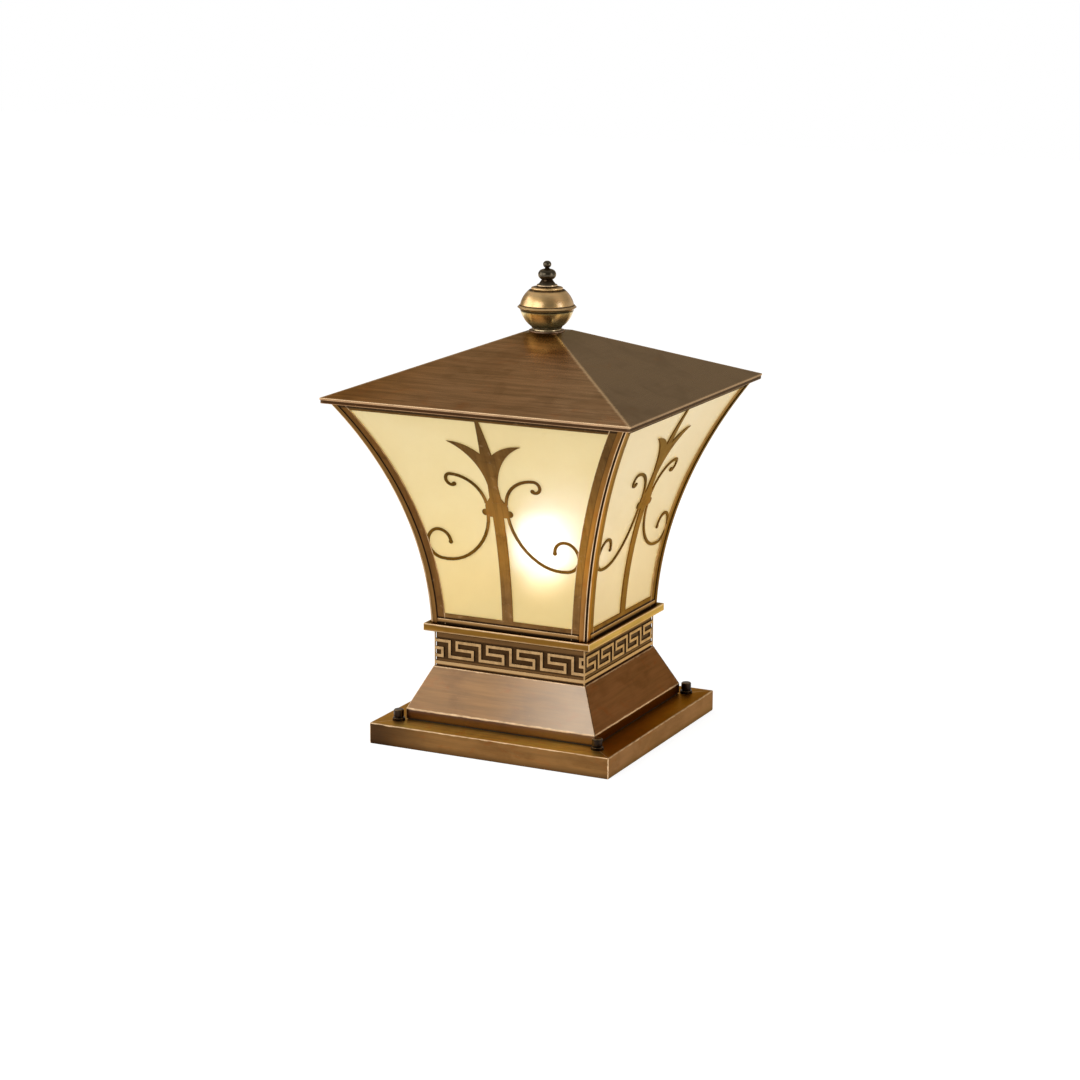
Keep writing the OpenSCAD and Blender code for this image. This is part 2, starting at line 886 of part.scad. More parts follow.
module finial_body() {
    lip = lower_globe[0].x + 0.3;
    bore = rod_d / 2 + finial_thread_gap;
    color("goldenrod")
    translate([0, 0, roof_z1])
        rotate_extrude()
            polygon(concat(
                [[bore, foot_z], [13.4, foot_z], [12.9, 2.4], [lip, 3.7], [lip, 4.1]],
                arc3(lower_globe), [[ridge_r - 1.2, ridge_z - 0.8], [ridge_r, ridge_z]],
                arc3(upper_globe),
                [[ring_low.x - 0.4, ring_low.y - 0.3], [ring_low.x, ring_low.y + 0.4],
                 [ring_low.x, ring_low.z - 0.8], [ring_low.x - 0.6, ring_low.z - 0.4],
                 [ring_high.x - 0.2, ring_low.z + 0.2], [ring_high.x - 0.4, ring_high.y],
                 [0, ring_high.y], [0, foot_z + rod_grip + 0.4],
                 [bore, foot_z + rod_grip + 0.4]]));
}

module finial_knob() {
    color("goldenrod")
    translate([0, 0, roof_z1])
        rotate_extrude()
            polygon(concat(
                [[0, ring_high.y], [ring_high.x - 0.4, ring_high.y], [ring_high.x, ring_high.y + 0.5],
                 [ring_high.x, ring_high.z - 0.5], [ring_high.x - 0.5, ring_high.z]],
                arc3([[ring_high.x - 1.4, ring_high.z], knob_neck,
                      [knob_low[0].x, knob_low[0].y - 0.4]]),
                arc3(knob_low), [tip_neck], arc3(tip_ball), [[0, tip_ball[2].y]]));
}

module holder_bracket() {
    z0 = bracket_z1 - bracket_t;
    color("silver")
    difference() {
        union() {
            translate([-bracket_half, -bracket_w / 2, z0])
                cube([2 * bracket_half, bracket_w, bracket_t]);
            for (side = [0, 1])
                mirror([side, 0, 0]) {
                    translate([bracket_half - bracket_t, -bracket_w / 2, z0])
                        cube([bracket_t, bracket_w, collar_under_z - z0]);
                    translate([bracket_half - bracket_t, -bracket_w / 2, collar_under_z - bracket_t])
                        cube([bracket_foot + bracket_t, bracket_w, bracket_t]);
                }
        }
        for (x = [-bracket_screw_x, bracket_screw_x])
            translate([x, 0, 0])
                pipe(screw_d / 2 + hole_gap / 2, z0, collar_z1);
        translate([earth_x, 0, 0])
            pipe(screw_d / 2, z0 - cut, bracket_z1 + cut);
    }
}

module bracket_screws() {
    color("silver")
    for (x = [-bracket_screw_x, bracket_screw_x])
        translate([x, 0, 0]) {
            pipe(screw_d / 2, collar_under_z - bracket_t - 4, collar_z1);
            pipe(screw_d * 0.9, collar_z1, collar_z1 + 2);
            hex_nut(7, screw_d / 2, collar_under_z - bracket_t - 3, collar_under_z - bracket_t);
        }
}

module holder_body() {
    bore = cap_r + holder_shell_gap + holder_shell_t + 0.1;
    floor_z = holder_spring_z - 1;
    color("white")
    rotate_extrude()
        polygon([
            [0, bracket_z1], [holder_r, bracket_z1], [holder_r, bracket_z1 + holder_foot_h],
            [holder_step_r, bracket_z1 + holder_foot_h + holder_step_h],
            [holder_step_r, holder_rim_z - holder_rim_h],
            [holder_rim_r, holder_rim_z - holder_rim_h + 1], [holder_rim_r, holder_rim_z - 1],
            [holder_rim_r - 1, holder_rim_z], [bore, holder_rim_z], [bore, floor_z], [0, floor_z]]);
}

module holder_shell() {
    inner = cap_r + holder_shell_gap;
    color("gold")
    tube(inner + holder_shell_t, inner, holder_spring_z - 1, holder_rim_z - 1);
}

module holder_contact() {
    color("gold") {
        pipe(cap_r - 3, holder_spring_z - 1, holder_spring_z);
        pipe(contact_r - 1, holder_spring_z, bulb_z0 - touch_gap);
    }
}

module terminal_block() {
    color("white")
    translate([terminal_x, 0, bracket_z1])
        difference() {
            translate([-terminal_size.x / 2, -terminal_size.y / 2, 0])
                cube(terminal_size);
            for (y = [-1 : 1])
                translate([0, y * terminal_size.y / 3, terminal_size.z / 2])
                    cylinder(r = 1.8, h = terminal_size.z);
        }
}

module terminal_screws() {
    color("silver")
    for (y = [-1 : 1])
        translate([terminal_x, y * terminal_size.y / 3, bracket_z1 + terminal_size.z / 2])
            cylinder(r = 1.7, h = 4);
}

// Insulated wire swept along a curve that four points pull into shape
function pull(p, t) =
    let (u = 1 - t)
    u * u * u * p[0] + 3 * t * u * u * p[1] + 3 * t * t * u * p[2] + t * t * t * p[3];
function unit(v) = v / norm(v);
module wire(p) {
    rings = [for (k = [0 : wire_steps])
        let (t = k / wire_steps,
             along = unit(pull(p, min(1, t + 0.01)) - pull(p, max(0, t - 0.01))),
             out = unit(cross(along, [0, 0, 1])), up = cross(out, along))
        [for (s = [0 : wire_sides - 1])
            pull(p, t) + wire_d / 2 * (cos(360 * s / wire_sides) * out + sin(360 * s / wire_sides) * up)]];
    polyhedron(
        points = [for (ring = rings) each ring],
        faces = concat(
            [[for (s = [0 : wire_sides - 1]) s]],
            [[for (s = [wire_sides - 1 : -1 : 0]) wire_steps * wire_sides + s]],
            [for (k = [0 : wire_steps - 1], s = [0 : wire_sides - 1])
                let (a = k * wire_sides + s, b = k * wire_sides + (s + 1) % wire_sides)
                [a, a + wire_sides, b + wire_sides, b]]));
}

module pole_wire(y) {
    x0 = terminal_x + terminal_size.x / 2;
    z = bracket_z1 + terminal_size.z / 3;
    wire([[x0, y, z], [x0 + 5, y, z], [x0, y * 0.4, z - 1], [-holder_r, y * 0.4, z - 1]]);
}

module live_wire() {
    color("brown")
    pole_wire(-terminal_size.y / 3);
}

module neutral_wire() {
    color("royalblue")
    pole_wire(terminal_size.y / 3);
}

module earth_wire() {
    z = bracket_z1 + wire_d / 2 + 1;
    color("yellowgreen")
    wire([[terminal_x, -terminal_size.y / 2 - slide_gap, z + 4],
          [terminal_x - 8, -3 * bracket_w / 2, z + 4],
          [earth_x + 4, -3 * bracket_w / 2 - 4, z],
          [earth_x, -screw_d - 0.5, z]]);
}

module earth_screw() {
    color("gold")
    translate([earth_x, 0, 0]) {
        pipe(screw_d / 2, bracket_z1 - bracket_t - 3, bracket_z1 + 2);
        pipe(screw_d, bracket_z1 + 2, bracket_z1 + 5);
        tube(screw_d * 1.1, screw_d / 2, bracket_z1, bracket_z1 + 2);
    }
}

module bulb_contact() {
    color("silver")
    pipe(contact_r, bulb_z0, bulb_z0 + contact_t);
}

module bulb_cap() {
    color("silver") {
        difference() {
            pipe(cap_r, cap_z0, cap_z1);
            pipe(cap_r - cap_wall, cap_z0 + cap_wall, cap_z1 + cut);
        }
        translate([0, 0, bulb_z0 + contact_t])
            cylinder(r1 = contact_r, r2 = cap_r - 1, h = insulator_h);
    }
}

// Outline of the bulb's glass, drawn in by a wall
function bulb_outline(wall) =
    let (waist = bulb_neck_r + 2.5)
    concat(
        [[bulb_neck_r - wall, cap_z1 - bulb_neck_in], [bulb_neck_r - wall, cap_z1 + 0.5]],
        [[waist - wall, cap_z1 + 8]],
        [for (a = [-56 : 8 : 80]) [(bulb_r - wall) * cos(a), bulb_z + (bulb_r - wall) * sin(a)]],
        [[0, bulb_z1 - wall]]);

module bulb_globe() {
    outside = bulb_outline(0);
    inside = bulb_outline(bulb_wall);
    color([1, 0.97, 0.9, 0.5])
    rotate_extrude()
        polygon(concat(outside, [for (k = [len(inside) - 1 : -1 : 0]) inside[k]]));
}

module bulb_filament() {
    stem_r = bulb_neck_r - bulb_wall - 0.2;
    color("ivory") {
        pipe(stem_r, cap_z0 + cap_wall + 0.2, cap_z0 + cap_wall + 2);
        translate([0, 0, cap_z0 + cap_wall + 2])
            cylinder(r1 = stem_r - 3, r2 = 3, h = bulb_z - 16 - cap_z0 - cap_wall - 2);
        pipe(1.5, bulb_z - 16, bulb_z + 18);
        for (a = [0 : 90 : 270])
            rotate([0, 0, a])
                translate([7, 0, 0])
                    pipe(0.9, bulb_z - 15, bulb_z + 16);
        for (z = [bulb_z - 15.5, bulb_z + 15.5])
            pipe(8, z, z + 1);
    }
}

mounting_plate();
fixing_studs();
stud_spacers();
cable_grommet();
base_box();
stud_washers();
cap_nuts();
skirt_gasket();
skirt();
key_band();
collar();
tie_rods();
tie_nuts();
post(0);  // post_front_right
post(1);  // post_back_right
post(2);  // post_back_left
post(3);  // post_front_left
grille(0);  // grille_front
grille(1);  // grille_right
grille(2);  // grille_back
grille(3);  // grille_left
foot_strip(0);  // foot_strip_front
foot_strip(1);  // foot_strip_right
foot_strip(2);  // foot_strip_back
foot_strip(3);  // foot_strip_left
glass(0);  // glass_front
glass(1);  // glass_right
glass(2);  // glass_back
glass(3);  // glass_left
retainer(0);  // retainer_front_right
retainer(1);  // retainer_back_right
retainer(2);  // retainer_back_left
retainer(3);  // retainer_front_left
sill_frame();
sill_screws();
top_frame();
cross_bar();
bar_screws();
finial_rod();
rod_nuts();
roof_seal();
roof_shell();
finial_washer();
finial_body();
finial_knob();
holder_bracket();
bracket_screws();
holder_body();
holder_shell();
holder_contact();
terminal_block();
terminal_screws();
live_wire();
neutral_wire();
earth_wire();
earth_screw();
bulb_contact();
bulb_cap();
bulb_globe();
bulb_filament();
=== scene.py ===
import json
import math

import bmesh
import bpy
from mathutils import Matrix, Vector

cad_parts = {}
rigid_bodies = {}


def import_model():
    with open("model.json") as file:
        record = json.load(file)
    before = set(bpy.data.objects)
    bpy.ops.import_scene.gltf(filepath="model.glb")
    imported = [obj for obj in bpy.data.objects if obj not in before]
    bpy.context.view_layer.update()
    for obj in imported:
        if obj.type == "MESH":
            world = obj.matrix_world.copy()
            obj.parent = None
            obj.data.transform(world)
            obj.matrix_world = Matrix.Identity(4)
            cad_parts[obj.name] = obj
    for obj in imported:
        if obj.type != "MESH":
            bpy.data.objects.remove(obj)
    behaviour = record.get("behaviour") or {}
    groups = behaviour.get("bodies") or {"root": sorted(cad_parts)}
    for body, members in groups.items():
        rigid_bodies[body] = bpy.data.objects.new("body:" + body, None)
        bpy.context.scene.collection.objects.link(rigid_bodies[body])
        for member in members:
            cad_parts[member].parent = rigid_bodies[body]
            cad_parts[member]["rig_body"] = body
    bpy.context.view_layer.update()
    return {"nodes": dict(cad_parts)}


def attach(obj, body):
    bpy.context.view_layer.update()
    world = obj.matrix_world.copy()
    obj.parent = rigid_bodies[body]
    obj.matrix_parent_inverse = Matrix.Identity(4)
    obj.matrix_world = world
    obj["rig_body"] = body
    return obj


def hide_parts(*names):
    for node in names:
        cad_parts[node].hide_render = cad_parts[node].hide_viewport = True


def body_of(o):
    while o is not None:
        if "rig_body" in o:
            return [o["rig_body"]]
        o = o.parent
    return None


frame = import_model()
NODES = frame["nodes"]
MM = 0.001

# Levels and half widths of the part, in millimetres
BASE_HALF, BASE_TOP = 125.0, 20.4
SKIRT_HALF, SKIRT_TOP_HALF = 99.3, 79.7
SKIRT_FOOT, SKIRT_CREASE, SKIRT_TOP = 21.4, 31.0, 71.2
NUT_FLANGE, NUT_TOP = 23.0, 31.0
BAND_FIELD, BAND_LINE = 77.7, 79.1
BEAD_TOP, KEYS_FOOT, KEYS_TOP = 77.0, 79.0, 99.0
COLLAR_HALF, COLLAR_FOOT, COLLAR_TOP = 86.9, 106.8, 114.0
FLARE_X, FLARE_R, FLARE_Z = 514.8, 432.9, 96.9
POST_GROOVE, POST_LEG, STILE_EDGE, STRIP_TOP = 2.4, 8.0, 16.0, 119.6
FOOT_RAIL, LEAF_FOOT, TOP_RAIL = 125.4, 268.0, 325.0
PANE_FOOT, PANE_UPPER = 120.0, 290.0
ROOF_HALF, ROOF_FACE = 156.82, 156.12
ROOF_FOOT, ROOF_GROOVE, ROOF_BEAD, ROOF_CREASE, ROOF_TOP = 331.2, 333.1, 334.6, 336.5, 388.4
BULB_Z = 183.0

RUBBED = (0.95, 0.66, 0.38)
DARK = (0.020, 0.009, 0.004)
EDGE_TINT = (1.0, 0.74, 0.42, 1.0)
SHARP_ANGLE = math.radians(34.0)
FLAT_ANGLE = math.radians(0.4)


# Shader graphs

class Num:
    """A number in a shader graph, with arithmetic that makes Math nodes."""

    def __init__(self, graph, socket):
        self.graph = graph
        self.socket = socket

    def __add__(self, other):
        return self.graph.math("ADD", self, other)

    def __radd__(self, other):
        return self.graph.math("ADD", self, other)

    def __sub__(self, other):
        return self.graph.math("SUBTRACT", self, other)

    def __rsub__(self, other):
        return self.graph.math("SUBTRACT", other, self)

    def __mul__(self, other):
        return self.graph.math("MULTIPLY", self, other)

    def __truediv__(self, other):
        return self.graph.math("DIVIDE", self, other)

    def abs(self):
        return self.graph.math("ABSOLUTE", self)

    def sqrt(self):
        return self.graph.math("SQRT", self)

    def max(self, other):
        return self.graph.math("MAXIMUM", self, other)

    def min(self, other):
        return self.graph.math("MINIMUM", self, other)

    def above(self, other):
        return self.graph.math("GREATER_THAN", self, other)

    def clamp(self):
        return self.graph.math("ADD", self, 0.0, clamp=True)

    def step(self, low, high, to_low=0.0, to_high=1.0):
        """Smooth step from to_low at low to to_high at high."""
        node = self.graph.new("ShaderNodeMapRange")
        node.interpolation_type = "SMOOTHSTEP"
        self.graph.put(node.inputs["Value"], self)
        ends = {"From Min": low, "From Max": high, "To Min": to_low, "To Max": to_high}
        for name, value in ends.items():
            node.inputs[name].default_value = value
        return Num(self.graph, node.outputs["Result"])


class Graph:
    """A new material with its node tree and object coordinates in millimetres."""

    def __init__(self, name):
        self.material = bpy.data.materials.new(name)
        self.material.use_nodes = True
        self.tree = self.material.node_tree
        self.tree.nodes.clear()
        self.out = self.new("ShaderNodeOutputMaterial")
        self.coord = self.new("ShaderNodeTexCoord")
        split = self.new("ShaderNodeSeparateXYZ")
        self.link(self.coord.outputs["Object"], split.inputs[0])
        self.x, self.y, self.z = (Num(self, split.outputs[i]) * 1000.0 for i in range(3))

    def new(self, kind):
        return self.tree.nodes.new(kind)

    def link(self, a, b):
        self.tree.links.new(a, b)

    def facing(self, axis):
        """Share of the surface's own direction along an axis of the object."""
        split = self.new("ShaderNodeSeparateXYZ")
        self.link(self.coord.outputs["Normal"], split.inputs[0])
        return Num(self, split.outputs[axis])

    def put(self, socket, value):
        if isinstance(value, Num):
            self.link(value.socket, socket)
        elif isinstance(value, bpy.types.NodeSocket):
            self.link(value, socket)
        elif isinstance(value, tuple):
            missing_alpha = len(value) == 3 and len(socket.default_value) == 4
            socket.default_value = value + (1.0,) if missing_alpha else value
        else:
            socket.default_value = value

    def math(self, operation, a, b=None, clamp=False):
        node = self.new("ShaderNodeMath")
        node.operation = operation
        node.use_clamp = clamp
        self.put(node.inputs[0], a)
        if b is not None:
            self.put(node.inputs[1], b)
        return Num(self, node.outputs[0])

    def pick(self, condition, a, b):
        """a where condition is 1, b where it is 0."""
        return b + condition * (a - b)

    def texture(self, kind, parts):
        """A texture node at scale 1 with its vector joined from three parts."""
        join = self.new("ShaderNodeCombineXYZ")
        for i, part in enumerate(parts):
            self.put(join.inputs[i], part)
        node = self.new(kind)
        self.link(join.outputs[0], node.inputs["Vector"])
        node.inputs["Scale"].default_value = 1.0
        return node

    def noise(self, parts, detail=2.0, rough=0.5, distortion=0.0):
        node = self.texture("ShaderNodeTexNoise", parts)
        node.inputs["Detail"].default_value = detail
        node.inputs["Roughness"].default_value = rough
        node.inputs["Distortion"].default_value = distortion
        return Num(self, node.outputs["Fac"])

    def grain(self, size, detail=2.0, rough=0.5, distortion=0.0):
        """Noise with the same size in millimetres along each axis."""
        return self.noise((self.x / size, self.y / size, self.z / size), detail, rough, distortion)

    def cells(self, size):
        """Distance to the nearest point of a scattered set."""
        parts = (self.x / size, self.y / size, self.z / size)
        return Num(self, self.texture("ShaderNodeTexVoronoi", parts).outputs["Distance"])

    def mix(self, factor, a, b, blend="MIX"):
        node = self.new("ShaderNodeMix")
        node.data_type = "RGBA"
        node.blend_type = blend
        self.put(node.inputs[0], factor)
        self.put(node.inputs[6], a)
        self.put(node.inputs[7], b)
        return node.outputs[2]

    def times(self, colour, tone):
        return self.mix(1.0, colour, tone, "MULTIPLY")

    def toned(self, weight, colour, tone):
        """The colour, multiplied by the tone as far as the weight says."""
        return self.mix(weight, colour, self.times(colour, tone))

    def bump(self, height, distance, normal=None):
        node = self.new("ShaderNodeBump")
        node.inputs["Strength"].default_value = 1.0
        node.inputs["Distance"].default_value = distance * MM
        self.put(node.inputs["Height"], height)
        if normal is not None:
            self.link(normal, node.inputs["Normal"])
        return node.outputs["Normal"]

    def principled(self, **values):
        node = self.new("ShaderNodeBsdfPrincipled")
        names = {"color": "Base Color", "metallic": "Metallic", "roughness": "Roughness",
                 "ior": "IOR", "normal": "Normal", "coat": "Coat Weight",
                 "coat_roughness": "Coat Roughness", "transmission": "Transmission Weight",
                 "emission": "Emission Color", "strength": "Emission Strength",
                 "specular": "Specular IOR Level"}
        for key, value in values.items():
            self.put(node.inputs[names[key]], value)
        self.link(node.outputs[0], self.out.inputs["Surface"])
        return node


def scaled(colour, factor):
    return tuple(channel * factor for channel in colour)


def near(distance, width, breakup, amount=0.7):
    """1 on an edge that is this distance away, 0 beyond a width, broken up by a noise."""
    return (distance + (breakup - 0.5) * (amount * 2.0 * width)).step(0.0, width, 1.0, 0.0)


def square_coordinates(g):
    """Outer and inner coordinate of a square plan, place along its side, 1 on front and back."""
    ax, ay = g.x.abs(), g.y.abs()
    outer, inner = ax.max(ay), ax.min(ay)
    front = ay.above(ax)
    along = g.pick(front, g.x, g.y)
    return outer, inner, along, front


def brushed(g, length, across, tint, side, streak, patch, red, blotch=38.0, calm=1.0):
    """Colour, roughness offset and patterns of brushed and toned bronze.

    The patterns are fine streaks, broad bands and clouds. calm below 1 softens the streaks.
    """
    bands = (g.noise((length / 70.0, across / 5.0, side), 4.0, 0.66) - 0.5) * calm + 0.5
    fine = (g.noise((length / 30.0, across / 0.75, side), 4.0, 0.62) - 0.5) * calm + 0.5
    cloud = g.noise((g.x / blotch, g.y / blotch, g.z / (blotch * 0.55)), 4.0, 0.6, 0.4)
    rust = g.noise((g.x / 24.0, g.y / 24.0, g.z / 13.0 + 7.3), 5.0, 0.65, 0.8)
    low, high = scaled(tint, 1.0 - streak * 0.72), scaled(tint, 1.0 + streak * 0.62)
    colour = g.mix(bands.step(0.22, 0.78), low, high)
    colour = g.toned(fine.step(0.36, 0.66) * 0.55, colour, (1.22, 1.16, 1.06))
    colour = g.toned(cloud.step(0.44, 0.66) * patch, colour, (0.62, 0.55, 0.47))
    colour = g.toned(rust.step(0.55, 0.72) * red, colour, (1.12, 0.74, 0.52))
    gloss = (fine - 0.5) * 0.16 + (cloud - 0.5) * 0.18 + (bands - 0.5) * 0.10
    return colour, gloss, fine, bands, cloud


def finish_metal(g, colour, roughness, height, wave, wear, grime_and_shade, coat, rubbed=RUBBED,
                 coat_roughness=0.22, fine_depth=0.010, wave_depth=0.22, dark_colour=DARK, coat_ior=1.5):
    """Adds wear, soiling and painted shade, and the shader itself."""
    # The dark mask and its colour stand for soiling and for painted shade alike.
    colour = g.mix(grime_and_shade, colour, dark_colour)
    roughness = roughness + grime_and_shade * 0.25
    colour = g.mix(wear, colour, rubbed)
    roughness = roughness - wear * 0.06
    normal = g.bump(wave, wave_depth)
    normal = g.bump(height, fine_depth, normal)
    metallic = 1.0 - grime_and_shade * 0.55
    coat = (1.0 - grime_and_shade) * coat
    shader = g.principled(color=colour, metallic=metallic, roughness=roughness.clamp(),
                          normal=normal, coat=coat, coat_roughness=coat_roughness, specular=0.15)
    shader.inputs["Coat IOR"].default_value = coat_ior
    shader.inputs["Specular Tint"].default_value = EDGE_TINT
    return g.material


def sheet_bronze(name, shade, edges, tint, *, corner, streak, coat, side_coat,
                 side=(1.0, 1.0, 1.0), rough=0.40, seam=0.0, low_darkening=None, patch=0.35, red=0.5,
                 side_calm=1.0, edge_width=1.3, edge_wear=0.9, dark_line=None, ragged=0.7,
                 corner_wear=1.0, side_wear=1.0, dark_colour=DARK):
    """Folded sheet with a square plan. edges are (half width, level, weight) of its long edges.

    side multiplies the colour of the left and right faces, as painted light and shade that tones
    them apart from front and back. shade adds its own layers of painted light and shade to the
    colour. seam is the width of a dark gap beside the corners, low_darkening the levels that a
    darkening toward the foot fades between, and dark_line the level and width of a dark line of
    painted shade.
    """
    g = Graph(name)
    outer, inner, along, front = square_coordinates(g)
    across = g.z - outer
    calm = g.pick(front, 1.0, side_calm)
    colour, gloss, fine, bands, cloud = brushed(g, along, across, tint, front * 9.7, streak, patch,
                                                red, calm=calm)
    # Painted light and shade: side tones the left and right faces apart from front and back, and
    # shade adds its own layers.
    colour = g.times(colour, g.mix(front, side, (1.0, 1.0, 1.0)))
    colour = shade(g, colour, outer, along, front, cloud)
    rag = g.noise((along / 9.0, across / 2.5, front * 3.1), 3.0, 0.6)
    long_rag = g.noise((along / 34.0, front * 5.0, 1.7))
    corner_away = outer - inner
    wear = near(corner_away, corner, rag) * corner_wear
    worn = long_rag.step(0.20, 0.55, 0.55, 1.0) * g.pick(front, 1.0, side_wear)
    for half, level, weight in edges:
        away = (outer - half).abs().max((g.z - level).abs())
        wear = wear.max(near(away, edge_width, rag, ragged) * worn * weight)
    wear = wear * edge_wear
    scratch = g.noise((along / 5.0 + g.z / 9.0, across / 0.5, front * 2.0))
    wear = wear.max(scratch.step(0.70, 0.76) * cloud.step(0.50, 0.62) * calm * 0.35)
    grime_and_shade = bands.step(0.60, 0.78) * cloud.step(0.50, 0.70) * 0.35
    if seam:
        gap = corner_away.step(0.15, 0.35) * corner_away.step(seam, seam * 1.5, 1.0, 0.0)
        gap = (1.0 - front) * gap
        grime_and_shade = grime_and_shade.max(gap)
        wear = wear * (1.0 - gap)
    if low_darkening:
        low, high = low_darkening
        grime_and_shade = grime_and_shade.max((g.z + (cloud - 0.5) * 4.0).step(low, high, 0.75, 0.0))
    # A dark line of painted shade.
    if dark_line:
        level, width = dark_line
        line = (g.z - level).abs().step(width * 0.5, width, 0.9, 0.0)
        grime_and_shade = grime_and_shade.max(line)
        wear = wear * (1.0 - line)
    wave = g.grain(60.0, 1.0)
    return finish_metal(g, colour, rough + gloss, fine, wave, wear, grime_and_shade,
                        g.pick(front, coat, side_coat), coat_roughness=0.16, dark_colour=dark_colour)


def base_shade(g, colour, outer, along, front, cloud):
    """Painted light and shade: a bright top, darker and redder on the right, the left and right
    faces toned apart from front and back, and painted shade at one end of the front and back and on
    all faces at the foot.
    """
    top = outer.step(BASE_HALF - 1.0, BASE_HALF - 0.4, 1.0, 0.0)
    on_right = (g.x - g.y.abs() + (cloud - 0.5) * 20.0).step(-26.0, 12.0)
    on_front = (g.y + (cloud - 0.5) * 14.0).step(-108.0, -88.0, 1.0, 0.0)
    left_part = (g.x + (cloud - 0.5) * 30.0).step(-112.0, -70.0, 1.0, 0.0)
    # Painted light on the top: brightest on its front strip, less at the left end and the back, and
    # darker and redder on the right.
    lit_top = g.mix(on_front * (1.0 - left_part), (2.50, 2.60, 2.10), (4.10, 6.00, 5.40))
    top_tone = g.mix(on_right, lit_top, (1.60, 1.18, 0.45))
    # Painted light and shade: the left and right faces toned apart from front and back.
    face_tone = g.mix(front, (0.86, 0.88, 1.60), (1.0, 1.0, 1.0))
    colour = g.times(colour, g.mix(top, face_tone, top_tone))
    # Painted shade at one end of the front and back.
    end = (along + (cloud - 0.5) * 60.0).step(-122.0, -50.0, 0.95, 0.0) * front * (1.0 - top)
    colour = g.toned(end, colour, (0.24, 0.23, 0.30))
    # Painted shade on all faces at the foot.
    foot = (g.z + (cloud - 0.5) * 3.0).step(0.0, 7.0, 1.0, 0.0)
    return g.toned(foot, colour, (0.50, 0.50, 0.52))


def skirt_shade(g, colour, outer, along, front, cloud):
    """Painted sheen that grows toward one corner of the front, and painted shade on the upright
    flange.
    """
    # Painted sheen toward one corner of the front and back.
    painted_sheen = (along + (cloud - 0.5) * 30.0).step(-30.0, 96.0, 0.0, 0.38) * front
    colour = g.mix(painted_sheen, colour, (0.80, 0.68, 0.54))
    # Painted shade on the upright flange.
    flange = g.z.step(SKIRT_CREASE - 0.6, SKIRT_CREASE - 0.2, 1.0, 0.0)
    return g.toned(flange, colour, (0.34, 0.20, 0.08))


def collar_shade(g, colour, outer, along, front, cloud):
    """Painted shade on the top, inside its bright edge."""
    inside = outer.step(COLLAR_HALF - 2.5, COLLAR_HALF - 1.3, 1.0, 0.0)
    top = inside * g.z.step(COLLAR_TOP - 0.5, COLLAR_TOP - 0.2)
    return g.toned(top, colour, (0.14, 0.11, 0.08))


def roof_shade(g, colour, outer, along, front, cloud):
    """Painted shade, redder, toward one corner of the front, a painted sheen toward the other, and
    painted shade round the finial and on the lip of the left and right faces.
    """
    # Painted shade, redder, toward one corner of the front and back.
    corner = (along + (cloud - 0.5) * 70.0).step(-150.0, -40.0, 1.0, 0.0) * front
    colour = g.toned(corner, colour, (0.88, 0.70, 0.42))
    # Painted sheen toward the other corner.
    pale = (along + (cloud - 0.5) * 70.0).step(10.0, 120.0) * front
    colour = g.toned(pale, colour, (1.16, 1.30, 1.45))
    # Painted shade round the finial's foot.
    foot = (outer + (cloud - 0.5) * 12.0).step(16.0, 46.0, 1.0, 0.0)
    colour = g.toned(foot, colour, (0.62, 0.66, 0.60))
    # Painted shade on the lip of the left and right faces.
    lip = (1.0 - front) * g.z.step(ROOF_BEAD - 0.3, ROOF_BEAD + 0.1, 1.0, 0.0)
    return g.toned(lip, colour, (0.34, 0.22, 0.10))


def key_brass():
    """Band with raised lines that are rubbed bright over a dark ground, with painted shadow under
    the collar, painted shade on the walls of the lines that face right, and a painted highlight on
    the worn corners at the right.
    """
    g = Graph("key_brass")
    outer, inner, along, front = square_coordinates(g)
    colour, gloss, fine, _, _ = brushed(g, along, g.z, (0.160, 0.080, 0.026), front * 4.0, 0.30,
                                        0.2, 0.3)
    rag = g.noise((along / 6.0, g.z / 6.0, front * 3.0), 3.0)
    raised = outer.step(BAND_FIELD + 0.35, BAND_LINE - 0.25)
    rim = raised * outer.step(BAND_LINE - 0.06, BAND_LINE - 0.02, 1.0, 0.0)
    in_keys = g.z.step(KEYS_FOOT - 1.4, KEYS_FOOT) * g.z.step(KEYS_TOP, KEYS_TOP + 1.4, 1.0, 0.0)
    ground = (1.0 - raised) * (0.18 + in_keys * 0.66) * rag.step(0.15, 0.7, 1.0, 0.80)
    ground = ground.max(g.z.step(SKIRT_TOP + 0.6, SKIRT_TOP + 1.4, 0.9, 0.0))
    # Painted shadow under the collar, reaching lower on the left and right faces.
    under_collar = g.z + (1.0 - front) * 2.5
    ground = ground.max(under_collar.step(COLLAR_FOOT - 3.8, COLLAR_FOOT - 2.6, 0.0, 0.75))
    on_bead = g.z.step(BEAD_TOP, BEAD_TOP + 0.6, 1.0, 0.0) * raised
    # Painted shade on the walls of the raised lines that face right, on front and back.
    wall = g.facing(0).step(0.35, 0.70) * front
    ground = ground.max(wall)
    # Worn corners, heavier on the right, where they are also a painted highlight.
    corner = near(outer - inner, 0.8, rag) * g.x.step(-60.0, 60.0, 0.1, 0.7)
    wear = (rim * 0.80).max(raised * rag.step(0.30, 0.65, 0.38, 0.66)).max(corner)
    wear = wear.max(on_bead * 0.62) * (1.0 - wall)
    return finish_metal(g, colour, 0.33 + gloss, fine, g.grain(60.0, 1.0), wear, ground, 0.1,
                        wave_depth=0.1, rubbed=(0.64, 0.41, 0.19), dark_colour=(0.024, 0.009, 0.002))


def flare_level(g):
    """Half width of the frame's outer faces at this height."""
    lift = g.z - FLARE_Z
    return FLARE_X - (FLARE_R * FLARE_R - lift * lift).sqrt()


def left_end(along, front):
    return along.step(-90.0, -30.0, 1.0, 0.0) * front


